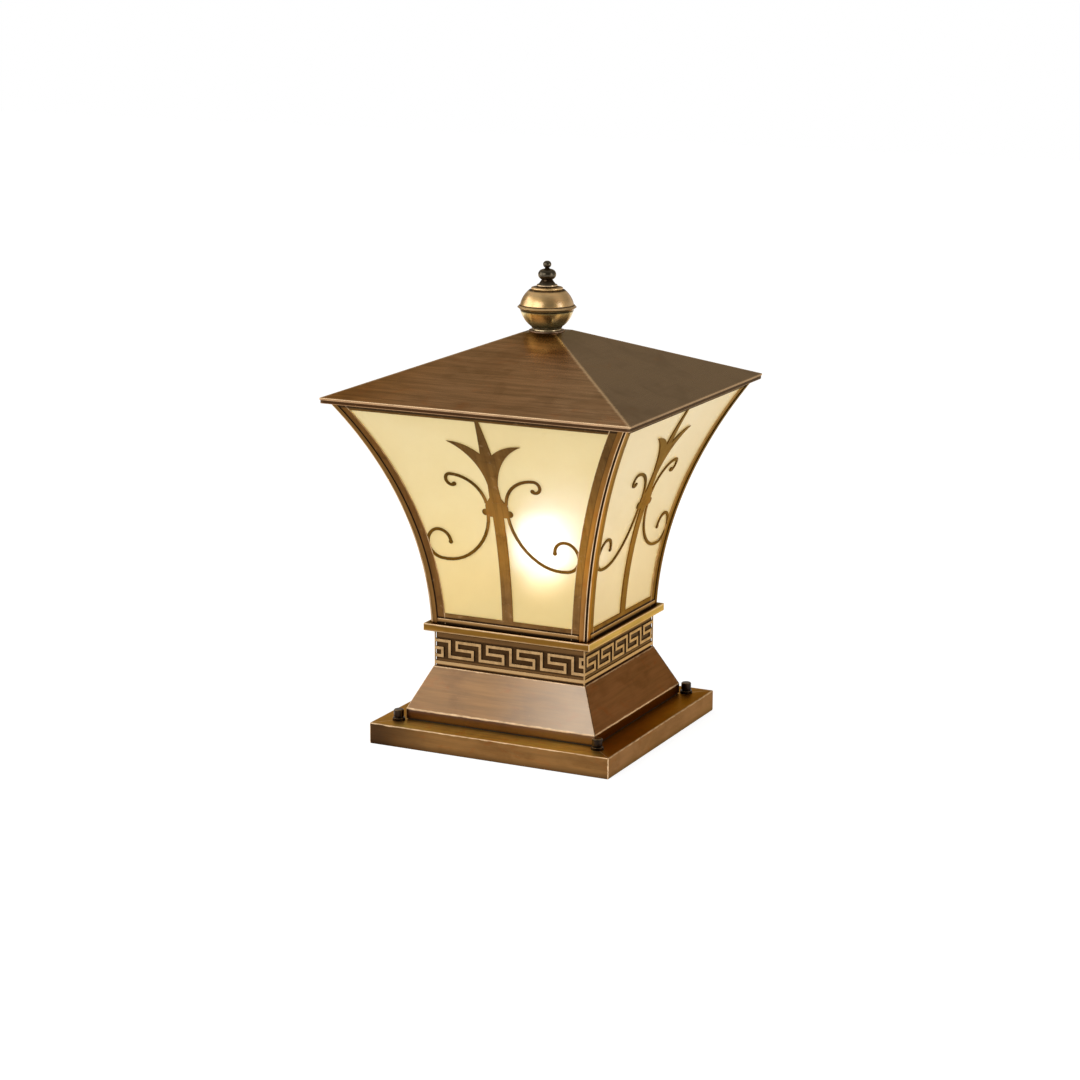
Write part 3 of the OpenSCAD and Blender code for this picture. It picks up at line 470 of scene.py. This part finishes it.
def lit_shade(g, colour, front, weight):
    """Painted light from the bulb: warm and bright toning at the height of the bulb, and painted
    shade above it.
    """
    near_bulb = g.z.step(BULB_Z - 43.0, BULB_Z + 7.0)
    near_bulb = near_bulb * g.z.step(BULB_Z + 22.0, BULB_Z + 132.0, 1.0, 0.0)
    above = g.z.step(BULB_Z + 32.0, BULB_Z + 137.0)
    colour = g.toned(near_bulb * weight * (0.35 + front * 0.65), colour, (1.48, 1.38, 0.80))
    return g.toned(above * weight, colour, (0.58, 0.58, 0.55))


def end_shade(g, colour, along, front, weight):
    """Painted shade: darker toning of the posts at one end of each side."""
    colour = g.toned(left_end(along, front) * weight, colour, (0.60, 0.66, 0.74))
    return g.toned((1.0 - front) * along.step(30.0, 70.0) * weight, colour, (0.26, 0.22, 0.18))


def frame_bronze():
    """Corner posts and foot strips, brushed along their length, with dark grooves of painted shade,
    painted shade at the joints and toward the strips' foot, and painted light and shade by height,
    side and end.
    """
    g = Graph("frame_bronze")
    outer, inner, along, front = square_coordinates(g)
    face = flare_level(g)
    depth, across = face - outer, face - inner
    on_post = across.step(POST_LEG + 0.5, POST_LEG + 2.0, 1.0, 0.0)
    length = g.pick(on_post, g.z, along)
    width = g.pick(on_post, across + depth, g.z)
    colour, gloss, fine, _, _ = brushed(g, length, width, (0.270, 0.122, 0.030),
                                        front * 5.0 + on_post, 0.42, 0.25, 0.35)
    left = left_end(along, front)
    # Painted shade at the ends of the sides and painted light from the bulb, on the posts.
    colour = end_shade(g, colour, along, front, on_post)
    colour = lit_shade(g, colour, front, on_post * 0.8 * (1.0 - left))
    colour = g.mix(on_post, g.times(colour, (1.05, 1.25, 1.80)), colour)
    # Painted light and shade: posts on the left and right faces toned apart from front and back.
    colour = g.toned((1.0 - front) * on_post, colour, (1.10, 0.96, 0.60))
    rag = g.noise((length / 14.0, width / 2.0, front * 3.0), 3.0)
    shallow = depth.step(0.4, 1.2, 1.0, 0.0)
    wear = near((across - POST_GROOVE).abs(), 0.75, rag) * shallow * on_post
    top_edge = near((g.z - STRIP_TOP).abs(), 1.0, rag, 0.4) * depth.step(0.2, 0.6, 1.0, 0.0)
    wear = wear.max(top_edge * (1.0 - on_post) * 0.85)
    # Painted shade in the corner groove.
    groove = across.step(POST_GROOVE + 0.12, POST_GROOVE + 0.02, 0.0, 1.0)
    groove = groove * depth.step(0.25, 0.8) * on_post
    # Painted shade at the joint of leg and stile, heavier at the left end.
    joint = (across - POST_LEG).abs().step(0.25, 0.6, 1.0, 0.0) * on_post
    groove = groove.max(joint * (0.35 + left * 0.6))
    # Painted shade toward the foot of the strips.
    strip_foot = g.z.step(STRIP_TOP - 3.4, STRIP_TOP - 1.8, 0.6, 0.0)
    groove = groove.max(strip_foot * (1.0 - on_post))
    wave = g.noise((g.x / 50.0, g.y / 50.0, g.z / 80.0), 1.0)
    return finish_metal(g, colour, 0.33 + gloss, fine, wave, wear * 0.85, groove * 0.95, 0.05,
                        wave_depth=0.15)


def grille_bronze():
    """Cut sheet, satin, brushed upwards on the ornament and along the strips, with painted light
    from the bulb and painted shade by side, at the ends, at the joints and under the roof.
    """
    g = Graph("grille_bronze")
    _, inner, along, front = square_coordinates(g)
    face = flare_level(g)
    in_top = g.z.step(TOP_RAIL, TOP_RAIL + 1.0)
    in_rail = g.z.step(FOOT_RAIL - 0.8, FOOT_RAIL, 1.0, 0.0).max(in_top)
    length = g.pick(in_rail, along, g.z)
    width = g.pick(in_rail, g.z, along)
    colour, gloss, _, _, cloud = brushed(g, length, width, (0.190, 0.096, 0.030), front * 5.0,
                                         0.35, 0.30, 0.35, 22.0)
    rag = g.grain(5.0, 3.0)
    across = face - inner
    on_stile = across.step(STILE_EDGE - 0.5, STILE_EDGE + 0.5, 1.0, 0.0)
    # Painted shade at the left end of the stiles.
    left = left_end(along, front) * on_stile
    colour = g.toned(left, colour, (0.72, 0.62, 0.50))
    colour = lit_shade(g, colour, front, 1.0 - left)
    # Painted light and shade: left and right faces toned apart from front and back.
    colour = g.toned(1.0 - front, colour, (0.92, 0.84, 0.62))
    # The scrolls toned darker, with painted light toward one end.
    on_scroll = along.abs().step(11.0, 15.0) * (1.0 - on_stile) * (1.0 - in_rail)
    on_scroll = on_scroll * g.z.step(LEAF_FOOT, LEAF_FOOT + 6.0, 1.0, 0.0)
    lit_end = g.mix(along.step(-10.0, 30.0), (0.46, 0.46, 0.28), (0.62, 0.58, 0.42))
    colour = g.toned(on_scroll, colour, lit_end)
    # Painted shade at the joint with the posts, heavier at the left end, painted shadow under the
    # roof, painted shade on the top rail of the left and right faces and at the foot above the
    # strip, and soiling in clouds.
    dark = (across - POST_LEG).abs().step(0.5, 1.1, 1.0, 0.0) * (left * 0.85 + 0.3)
    dark = dark.max(g.z.step(TOP_RAIL + 1.6, TOP_RAIL + 3.4, 0.0, 0.8))
    dark = dark.max(in_top * (1.0 - front) * 0.85)
    dark = dark.max(g.z.step(STRIP_TOP + 0.9, STRIP_TOP + 1.9, 0.9, 0.0))
    dark = dark.max(cloud.step(0.55, 0.75) * 0.3)
    # Wear along the stiles' inner edge, which is also a painted highlight.
    stile = near((across - STILE_EDGE).abs(), 0.7, rag) * 0.5
    wear = stile.max(rag.step(0.60, 0.76) * 0.07)
    return finish_metal(g, colour, 0.40 + gloss, g.grain(1.3), g.grain(40.0, 1.0), wear, dark, 0.05,
                        coat_roughness=0.3, wave_depth=0.15)


def turned_brass(name, tint=(0.83, 0.50, 0.150), rough=0.32, rings=(), pale=(), dark=0.0, coat=0.5,
                 dark_below=None, coat_ior=1.5, reflection_tone_below=None):
    """Turned metal, brushed round its axis. rings and pale are (level, half width, weight) of
    dark rings of painted shade, in grooves and under ridges, and bright rims. A painted shade and
    dark reflection fades between the two levels of dark_below, and below reflection_tone_below the
    colour takes a painted reflection tone."""
    g = Graph(name)
    radius = (g.x * g.x + g.y * g.y).sqrt()
    colour, gloss, fine, _, cloud = brushed(g, g.x / 2.0, g.z + radius * 0.7, tint, g.y / 80.0,
                                            0.20, 0.3, 0.35, 16.0)
    rag = g.noise((g.x / 4.0, g.y / 4.0, g.z / 2.0), 3.0)
    grime_and_shade = cloud.step(0.50, 0.72) * 0.22 + dark
    # Painted shade and a painted dark reflection toward the foot.
    if dark_below:
        low, high = dark_below
        grime_and_shade = grime_and_shade.max((g.z + (cloud - 0.5) * 4.0).step(low, high, 0.85, 0.0))
    # Dark rings of painted shade.
    for level, width, weight in rings:
        grime_and_shade = grime_and_shade.max(near((g.z - level).abs(), width, rag, 0.2) * weight)
    wear = rag.step(0.60, 0.75) * 0.15
    for level, width, weight in pale:
        rim = near((g.z - level).abs(), width, rag, 0.2) * weight
        wear = wear.max(rim)
        grime_and_shade = grime_and_shade * (1.0 - rim)
    # A painted reflection tone below the given level, less rough.
    if reflection_tone_below:
        lower = g.z.step(reflection_tone_below - 0.5, reflection_tone_below + 0.5, 1.0, 0.0)
        colour = g.toned(lower, colour, (0.78, 1.10, 1.50))
        rough = lower * -0.12 + rough
    return finish_metal(g, colour, rough + gloss * 0.6, fine, g.grain(30.0, 1.0), wear, grime_and_shade, coat,
                        fine_depth=0.006, wave_depth=0.08, coat_ior=coat_ior)


def dark_bronze():
    """Near-black nuts and washers with rubbed rims."""
    g = Graph("dark_bronze")
    rag = g.grain(2.0, 3.0)
    cloud = g.noise((g.x / 7.0, g.y / 7.0, g.z / 4.0), 3.0)
    rim = near((g.z - NUT_TOP).abs(), 0.75, rag, 0.4)
    rim = rim.max(near((g.z - NUT_FLANGE).abs(), 0.45, rag) * 0.55)
    colour = g.mix(cloud.step(0.35, 0.7), (0.012, 0.007, 0.004), (0.038, 0.020, 0.010))
    colour = g.mix(rim * 0.6, colour, (0.40, 0.26, 0.13))
    g.principled(color=colour, metallic=1.0, roughness=(0.30 + (cloud - 0.5) * 0.25).clamp(),
                 normal=g.bump(rag, 0.03), coat=0.12, coat_roughness=0.15)
    return g.material


def amber_glass():
    """Frosted amber glass, lit from inside by painted light, a little cloudy, with rough
    transmission. The glow is an emission that stands in for the bulb's light in the glass.
    """
    g = Graph("amber_glass")
    _, _, along, front = square_coordinates(g)
    lift = g.z - BULB_Z
    away = (along * along + lift * lift * 0.8).sqrt()
    cloud = g.grain(60.0, 4.0, 0.55, 0.3)
    frost = g.grain(0.8, 3.0, 0.6)
    # Painted light: the glow is brightest near the bulb and fainter away from it.
    glow = g.mix(away.step(20.0, 190.0), (0.46, 0.37, 0.160), (0.43, 0.33, 0.118))
    glow = g.mix(cloud.step(0.35, 0.70) * 0.35, glow, (0.46, 0.38, 0.175))
    # Painted light dimmer toward the foot; the glass's own tint is toned there too.
    foot = g.z.step(PANE_FOOT, PANE_UPPER, 1.0, 0.0)
    glow = g.toned(foot, glow, (0.90, 0.84, 0.60))
    # Painted light: the left and right panes glow a little less.
    glow = g.times(glow, g.mix(front, (0.97, 0.90, 0.90), (0.99, 0.98, 0.94)))
    tint = g.mix(cloud.step(0.30, 0.70), (0.71, 0.61, 0.37), (0.73, 0.64, 0.41))
    tint = g.toned(foot, tint, (0.97, 0.92, 0.78))
    normal = g.bump(cloud, 0.35)
    normal = g.bump(frost, 0.006, normal)
    g.principled(color=tint, metallic=0.0, roughness=(0.36 + (frost - 0.5) * 0.10).clamp(),
                 ior=1.45, transmission=0.30, emission=glow, strength=0.50, normal=normal)
    return g.material


def bulb_glass():
    """Frosted bulb, lit, dimmer at its neck."""
    g = Graph("bulb_glass")
    grain = g.grain(1.2, 3.0)
    globe = g.z.step(BULB_Z - 49.0, BULB_Z - 15.0)
    glow = g.mix(globe, (1.0, 0.82, 0.52), (0.74, 0.87, 1.65))
    g.principled(color=(0.95, 0.93, 0.88), roughness=(0.35 + (grain - 0.5) * 0.2).clamp(), ior=1.45,
                 transmission=0.3, emission=glow, strength=globe * 13.0 + 1.4,
                 normal=g.bump(grain, 0.01))
    return g.material


def filament():
    """Lit filaments on their stem."""
    g = Graph("filament")
    grain = g.noise((g.x / 1.0, g.y / 1.0, g.z / 3.0), 3.0)
    glow = g.mix(grain.step(0.35, 0.65), (1.0, 0.74, 0.38), (1.0, 0.86, 0.60))
    g.principled(color=(0.95, 0.85, 0.6), roughness=(0.3 + (grain - 0.5) * 0.2).clamp(),
                 transmission=0.2, emission=glow, strength=3.0)
    return g.material


def plain_metal(name, tint, rough=0.32):
    """Zinc, brass or aluminium of the inner parts, with spangle, fine scratches and stains."""
    g = Graph(name)
    grain = g.noise((g.x / 0.7, g.y / 0.7, g.z / 5.0), 3.0)
    cloud = g.grain(18.0, 4.0, distortion=0.5)
    colour = g.mix(g.cells(6.0).step(0.15, 0.75) * 0.35, tint, scaled(tint, 0.78))
    colour = g.toned(cloud.step(0.52, 0.75) * 0.5, colour, (0.55, 0.52, 0.47))
    roughness = rough + (grain - 0.5) * 0.2 + (cloud - 0.5) * 0.2
    g.principled(color=colour, metallic=1.0, roughness=roughness.clamp(),
                 normal=g.bump(grain, 0.012))
    return g.material


def dull(name, tint, rough, speck=0.25, grain_size=1.0, stripes=None, coat=0.0):
    """Rubber, plastic and porcelain. stripes is a second colour in lengthwise bands."""
    g = Graph(name)
    grain = g.grain(grain_size, 4.0)
    cloud = g.grain(15.0, 3.0)
    colour = g.mix(cloud.step(0.3, 0.7) * speck, tint, scaled(tint, 0.72))
    if stripes:
        wave = g.math("SINE", g.x * 0.9 + g.y * 0.9 + g.z * 0.6)
        colour = g.mix(wave.step(0.15, 0.3), colour, stripes)
    g.principled(color=colour, roughness=(rough + (grain - 0.5) * 0.15).clamp(),
                 normal=g.bump(grain, 0.03), coat=coat, coat_roughness=0.08)
    return g.material


# Meshes

def body_name(node):
    return body_of(NODES[node])[0]


def add_piece(name, bm, material, nodes, slot, body):
    mesh = bpy.data.meshes.new(name)
    for face in bm.faces:
        face.smooth = True
    bm.to_mesh(mesh)
    bm.free()
    mesh.materials.append(material)
    mesh.set_sharp_from_angle(angle=SHARP_ANGLE)
    piece = bpy.data.objects.new(name, mesh)
    bpy.context.scene.collection.objects.link(piece)
    weighted = piece.modifiers.new("weighted", "WEIGHTED_NORMAL")
    weighted.keep_sharp = True
    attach(piece, body)
    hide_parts(*nodes)


def refined(node, slot, material, width, segments=2, angle=30.0):
    """The solid of a CAD node with its corners rounded by a bevel of this width."""
    bm = bmesh.new()
    bm.from_mesh(NODES[node].data)
    bmesh.ops.remove_doubles(bm, verts=bm.verts, dist=2e-6)
    bmesh.ops.dissolve_limit(bm, angle_limit=FLAT_ANGLE, verts=bm.verts, edges=bm.edges)
    bmesh.ops.triangulate(bm, faces=[f for f in bm.faces if len(f.verts) > 4])
    if width:
        limit = math.radians(angle)
        edges = [e for e in bm.edges
                 if len(e.link_faces) == 2 and e.calc_face_angle(0.0) > limit]
        bmesh.ops.bevel(bm, geom=edges, offset=width * MM, offset_type="OFFSET",
                        segments=segments, profile=0.55, affect="EDGES", clamp_overlap=False)
    add_piece(node + ".look", bm, material, [node], slot, body_name(node))


# Painted light and shade: the side factors below tone the left and right faces apart from front and
# back, the shade functions add their own layers, and the roof's dark line is painted shade under
# its bead.
bronze_base = sheet_bronze(
    "bronze_base", base_shade, [(BASE_HALF, BASE_TOP, 1.0)], (0.235, 0.116, 0.037),
    corner=1.1, edge_width=1.5, edge_wear=1.0, streak=0.22, patch=0.45, side_calm=0.8,
    coat=0.03, side_coat=0.03)
bronze_skirt = sheet_bronze(
    "bronze_skirt", skirt_shade,
    [(SKIRT_HALF, SKIRT_CREASE, 1.0), (SKIRT_TOP_HALF, SKIRT_TOP, 1.0)],
    (0.260, 0.134, 0.045), side=(0.93, 0.735, 0.90), seam=1.0, corner=1.0, patch=0.4, streak=0.30,
    side_calm=0.85, low_darkening=(SKIRT_FOOT - 0.9, SKIRT_FOOT + 2.6), rough=0.46, coat=0.72,
    side_coat=0.0)
bronze_collar = sheet_bronze(
    "bronze_collar", collar_shade,
    [(COLLAR_HALF, COLLAR_TOP, 1.0), (COLLAR_HALF, COLLAR_FOOT, 0.45)],
    (0.215, 0.104, 0.018), side=(2.35, 3.20, 5.40), corner=0.8, edge_width=1.8, edge_wear=1.0,
    streak=0.34, coat=0.0, side_coat=0.0, ragged=0.3)
bronze_roof = sheet_bronze(
    "bronze_roof", roof_shade,
    [(ROOF_HALF, ROOF_CREASE, 1.0), (ROOF_HALF, ROOF_BEAD, 0.6), (ROOF_FACE, ROOF_FOOT, 0.30)],
    (0.305, 0.156, 0.074), side=(0.64, 0.81, 1.25), corner=3.8, corner_wear=0.60, streak=0.46,
    patch=0.50, red=0.35, side_calm=0.2, edge_width=1.2, coat=0.14, side_coat=0.28, rough=0.28,
    dark_line=(ROOF_GROOVE, 1.8), ragged=0.10, side_wear=0.36, dark_colour=(0.040, 0.014, 0.003))
key_metal = key_brass()
frame_metal = frame_bronze()
grille_metal = grille_bronze()
# Painted shade in the finial's grooves and under its ridges, and a painted dark reflection and
# reflection tone on its lower half.
finial_metal = turned_brass(
    "finial_brass",
    rings=((ROOF_TOP + 4.2, 1.0, 1.0), (ROOF_TOP + 20.2, 2.0, 1.0), (ROOF_TOP + 25.0, 1.0, 1.0),
           (ROOF_TOP + 39.2, 1.7, 1.0), (ROOF_TOP + 42.2, 0.9, 1.0)),
    pale=((ROOF_TOP + 2.0, 0.7, 0.5),), dark_below=(ROOF_TOP + 4.0, ROOF_TOP + 14.0),
    coat=0.90, coat_ior=2.25, reflection_tone_below=ROOF_TOP + 22.0)
# The knob's wide dark rings are painted shade on the lower halves of its ball and tip.
knob_metal = turned_brass(
    "knob_brass", (0.085, 0.064, 0.028), 0.12,
    rings=((ROOF_TOP + 48.6, 7.0, 1.0), (ROOF_TOP + 60.2, 5.0, 1.0)),
    pale=((ROOF_TOP + 43.6, 0.9, 0.8),), dark=0.15, coat=0.45, coat_ior=1.9)
washer_metal = turned_brass("washer_brass", (0.30, 0.19, 0.12), 0.36, dark=0.15, coat=0.3)
nut_metal = dark_bronze()
amber = amber_glass()
bulb_look = bulb_glass()
zinc = plain_metal("zinc_steel", (0.60, 0.60, 0.60))
black_rubber = dull("black_rubber", (0.020, 0.019, 0.018), 0.62, grain_size=0.5)

refined("base_box", "bronze_sheet", bronze_base, 1.1, 3)
refined("skirt", "bronze_sheet", bronze_skirt, 0.7, 3, 20.0)
refined("collar", "bronze_sheet", bronze_collar, 0.6, 3)
refined("roof_shell", "bronze_sheet", bronze_roof, 0.33, 3, 16.0)
refined("key_band", "key_brass", key_metal, 0.28)
for corner in ("front_right", "back_right", "back_left", "front_left"):
    refined("post_" + corner, "frame_bronze", frame_metal, 0.45)
    refined("retainer_" + corner, "zinc_steel", zinc, 0.25)
for side in ("front", "right", "back", "left"):
    refined("grille_" + side, "grille_bronze", grille_metal, 0.25)
    refined("foot_strip_" + side, "frame_bronze", frame_metal, 0.5, 3)
    pane = NODES["glass_" + side]
    pane.data.materials.clear()
    pane.data.materials.append(amber)
refined("finial_body", "finial_brass", finial_metal, 0.25, angle=20.0)
refined("finial_knob", "finial_brass", knob_metal, 0.12, angle=20.0)
refined("finial_washer", "finial_brass", washer_metal, 0.3)
refined("cap_nuts", "dark_bronze", nut_metal, 0.2)
refined("stud_washers", "dark_bronze", nut_metal, 0.25)
refined("bulb_globe", "bulb_glass", bulb_look, 0.0)
refined("bulb_filament", "filament", filament(), 0.0)

# Slot of the inner parts: look, width of the bevel, nodes
INNER = {
    "zinc_steel": (zinc, 0.25, (
        "mounting_plate", "fixing_studs", "stud_spacers", "tie_rods", "tie_nuts", "sill_frame",
        "sill_screws", "top_frame", "cross_bar", "bar_screws", "finial_rod", "rod_nuts",
        "holder_bracket", "bracket_screws", "terminal_screws")),
    "black_rubber": (black_rubber, 0.2, ("cable_grommet", "skirt_gasket", "roof_seal")),
    "porcelain": (dull("porcelain", (0.80, 0.78, 0.73), 0.25, 0.15, 2.0, coat=0.6), 0.4,
                  ("holder_body",)),
    "contact_brass": (plain_metal("contact_brass", (0.70, 0.48, 0.17), 0.28), 0.08,
                      ("holder_shell", "holder_contact", "earth_screw")),
    "white_plastic": (dull("white_plastic", (0.74, 0.74, 0.71), 0.42), 0.4, ("terminal_block",)),
    "cap_metal": (plain_metal("cap_metal", (0.72, 0.71, 0.68), 0.25), 0.1,
                  ("bulb_cap", "bulb_contact")),
    "brown_wire": (dull("brown_wire", (0.115, 0.045, 0.018), 0.4), 0.0, ("live_wire",)),
    "blue_wire": (dull("blue_wire", (0.022, 0.085, 0.36), 0.4), 0.0, ("neutral_wire",)),
    "green_yellow_wire": (dull("green_yellow_wire", (0.07, 0.25, 0.03), 0.4,
                               stripes=(0.65, 0.52, 0.03)), 0.0, ("earth_wire",)),
}
for slot_name, (look, rounding, nodes) in INNER.items():
    for node_name in nodes:
        refined(node_name, slot_name, look, rounding)


# Floor, light and camera

def emission_and_diffuse(tree, out, glow, share, rest):
    """Camera, glossy and transmission rays see it pale and lit, others as a grey surface."""
    path = tree.nodes.new("ShaderNodeLightPath")
    seen = tree.nodes.new("ShaderNodeMath")
    seen.operation = "MAXIMUM"
    tree.links.new(path.outputs["Is Camera Ray"], seen.inputs[0])
    other = tree.nodes.new("ShaderNodeMath")
    other.operation = "MAXIMUM"
    tree.links.new(path.outputs["Is Glossy Ray"], other.inputs[0])
    tree.links.new(path.outputs["Is Transmission Ray"], other.inputs[1])
    tree.links.new(other.outputs[0], seen.inputs[1])
    light = tree.nodes.new("ShaderNodeEmission")
    light.inputs["Strength"].default_value = glow
    pale = tree.nodes.new("ShaderNodeBsdfDiffuse")
    pale.inputs["Color"].default_value = (share, share, share, 1.0)
    both = tree.nodes.new("ShaderNodeAddShader")
    tree.links.new(light.outputs[0], both.inputs[0])
    tree.links.new(pale.outputs[0], both.inputs[1])
    plain = tree.nodes.new("ShaderNodeBsdfDiffuse")
    plain.inputs["Color"].default_value = (rest, rest, rest, 1.0)
    choose = tree.nodes.new("ShaderNodeMixShader")
    tree.links.new(seen.outputs[0], choose.inputs[0])
    tree.links.new(plain.outputs[0], choose.inputs[1])
    tree.links.new(both.outputs[0], choose.inputs[2])
    tree.links.new(choose.outputs[0], out.inputs["Surface"])


FLOOR_HALF = 6.0
floor_corners = [(-FLOOR_HALF, -FLOOR_HALF, 0), (FLOOR_HALF, -FLOOR_HALF, 0),
                 (FLOOR_HALF, FLOOR_HALF, 0), (-FLOOR_HALF, FLOOR_HALF, 0)]
floor_mesh = bpy.data.meshes.new("floor")
floor_mesh.from_pydata(floor_corners, [], [(0, 1, 2, 3)])
floor = bpy.data.objects.new("floor", floor_mesh)
bpy.context.scene.collection.objects.link(floor)
floor_look = bpy.data.materials.new("floor")
floor_look.use_nodes = True
floor_look.node_tree.nodes.clear()
floor_out = floor_look.node_tree.nodes.new("ShaderNodeOutputMaterial")
emission_and_diffuse(floor_look.node_tree, floor_out, glow=0.78, share=0.42, rest=0.75)
floor_mesh.materials.append(floor_look)

world = bpy.data.worlds.new("studio")
bpy.context.scene.world = world
world.use_nodes = True
wt = world.node_tree
wt.nodes.clear()


def world_number(operation, a, b, clamp=False):
    node = wt.nodes.new("ShaderNodeMath")
    node.operation = operation
    node.use_clamp = clamp
    for i, value in enumerate((a, b)):
        if isinstance(value, bpy.types.NodeSocket):
            wt.links.new(value, node.inputs[i])
        else:
            node.inputs[i].default_value = value
    return node.outputs[0]


def world_toward(direction, low, high, to_low, to_high):
    """Smooth step on the cosine of the angle between the ray and a direction."""
    cosine = wt.nodes.new("ShaderNodeVectorMath")
    cosine.operation = "DOT_PRODUCT"
    wt.links.new(world_coord.outputs["Generated"], cosine.inputs[0])
    cosine.inputs[1].default_value = Vector(direction).normalized()
    node = wt.nodes.new("ShaderNodeMapRange")
    node.interpolation_type = "SMOOTHSTEP"
    wt.links.new(cosine.outputs["Value"], node.inputs["Value"])
    ends = {"From Min": low, "From Max": high, "To Min": to_low, "To Max": to_high}
    for name, number in ends.items():
        node.inputs[name].default_value = number
    return node.outputs["Result"]


world_coord = wt.nodes.new("ShaderNodeTexCoord")
# In a mirror the room is white low down and dimmer above. It has darker fields at the back
# right, behind the camera, low behind the part and at the left, and a paler one high up at
# the back left.
studio = world_toward((0, 0, 1), 0.02, 0.42, 1.0, 0.42)
for toward, low, high, dim in (((0.6, 0.8, 0.0), 0.45, 0.95, 0.58),
                               ((0.43, -0.87, 0.2), 0.30, 0.90, 0.32),
                               ((-0.43, 0.88, -0.12), 0.82, 0.97, 0.25),
                               ((-0.97, 0.25, -0.10), 0.75, 0.95, 0.15)):
    studio = world_number("MULTIPLY", studio, world_toward(toward, low, high, 1.0, dim))
studio = world_number("ADD", studio, world_toward((-0.45, 0.50, 0.74), 0.80, 0.99, 0.0, 0.08))
world_path = wt.nodes.new("ShaderNodeLightPath")
camera_ray = world_path.outputs["Is Camera Ray"]
mirror = world_number("MAXIMUM", world_path.outputs["Is Glossy Ray"],
                      world_path.outputs["Is Transmission Ray"])
plain_light = 0.62
rest = world_number("SUBTRACT", world_number("SUBTRACT", 1.0, camera_ray), mirror, True)
strength = world_number("ADD", camera_ray, world_number("MULTIPLY", mirror, studio))
strength = world_number("ADD", strength, world_number("MULTIPLY", rest, plain_light))
background = wt.nodes.new("ShaderNodeBackground")
background.inputs["Color"].default_value = (1.0, 1.0, 1.0, 1.0)
wt.links.new(strength, background.inputs["Strength"])
world_out = wt.nodes.new("ShaderNodeOutputWorld")
wt.links.new(background.outputs[0], world_out.inputs["Surface"])


def softbox(name, place, aim_height, width, height, power):
    """Rectangular lamp that looks at a point on the part's axis. Metres and watts."""
    data = bpy.data.lights.new(name, "AREA")
    data.shape = "RECTANGLE"
    data.size = width
    data.size_y = height
    data.energy = power
    lamp = bpy.data.objects.new(name, data)
    direction = Vector((0.0, 0.0, aim_height)) - Vector(place)
    lamp.rotation_euler = direction.to_track_quat("-Z", "Y").to_euler()
    lamp.location = place
    lamp.visible_camera = False
    bpy.context.scene.collection.objects.link(lamp)


softbox("key_light", (-0.36, -1.15, 0.88), 0.15, 0.90, 0.85, 4.2)
softbox("right_light", (1.45, -0.08, 0.75), 0.35, 0.45, 1.0, 3.4)
softbox("left_light", (-1.22, -0.48, 0.72), 0.35, 1.15, 1.1, 5.4)

# The camera, fitted to the photograph. Distance and shifts are in units of half the base's width.
UNIT = 0.125
AIM_HEIGHT = 2.0
azimuth, elevation, roll = math.radians(25.942), math.radians(13.133), math.radians(0.26)
distance, shift_right, shift_up = 21.225, -0.047, -0.498
focal_pixels, frame_pixels, sensor = 2782.363, 1080.0, 36.0
back = Vector((math.sin(azimuth) * math.cos(elevation), -math.cos(azimuth) * math.cos(elevation),
               math.sin(elevation)))
level_right = Vector((math.cos(azimuth), math.sin(azimuth), 0.0))
level_up = back.cross(level_right)
right = level_right * math.cos(roll) + level_up * math.sin(roll)
up = level_up * math.cos(roll) - level_right * math.sin(roll)
aim = Vector((0.0, 0.0, AIM_HEIGHT))
eye = (aim + back * distance + right * shift_right + up * shift_up) * UNIT
camera_data = bpy.data.cameras.new("camera")
camera_data.sensor_width = sensor
camera_data.lens = sensor * focal_pixels / frame_pixels
camera = bpy.data.objects.new("camera", camera_data)
axes = Matrix((right, up, back)).transposed().to_4x4()
axes.translation = eye
camera.matrix_world = axes
bpy.context.scene.collection.objects.link(camera)
bpy.context.scene.camera = camera
bpy.context.scene.view_settings.view_transform = "Standard"
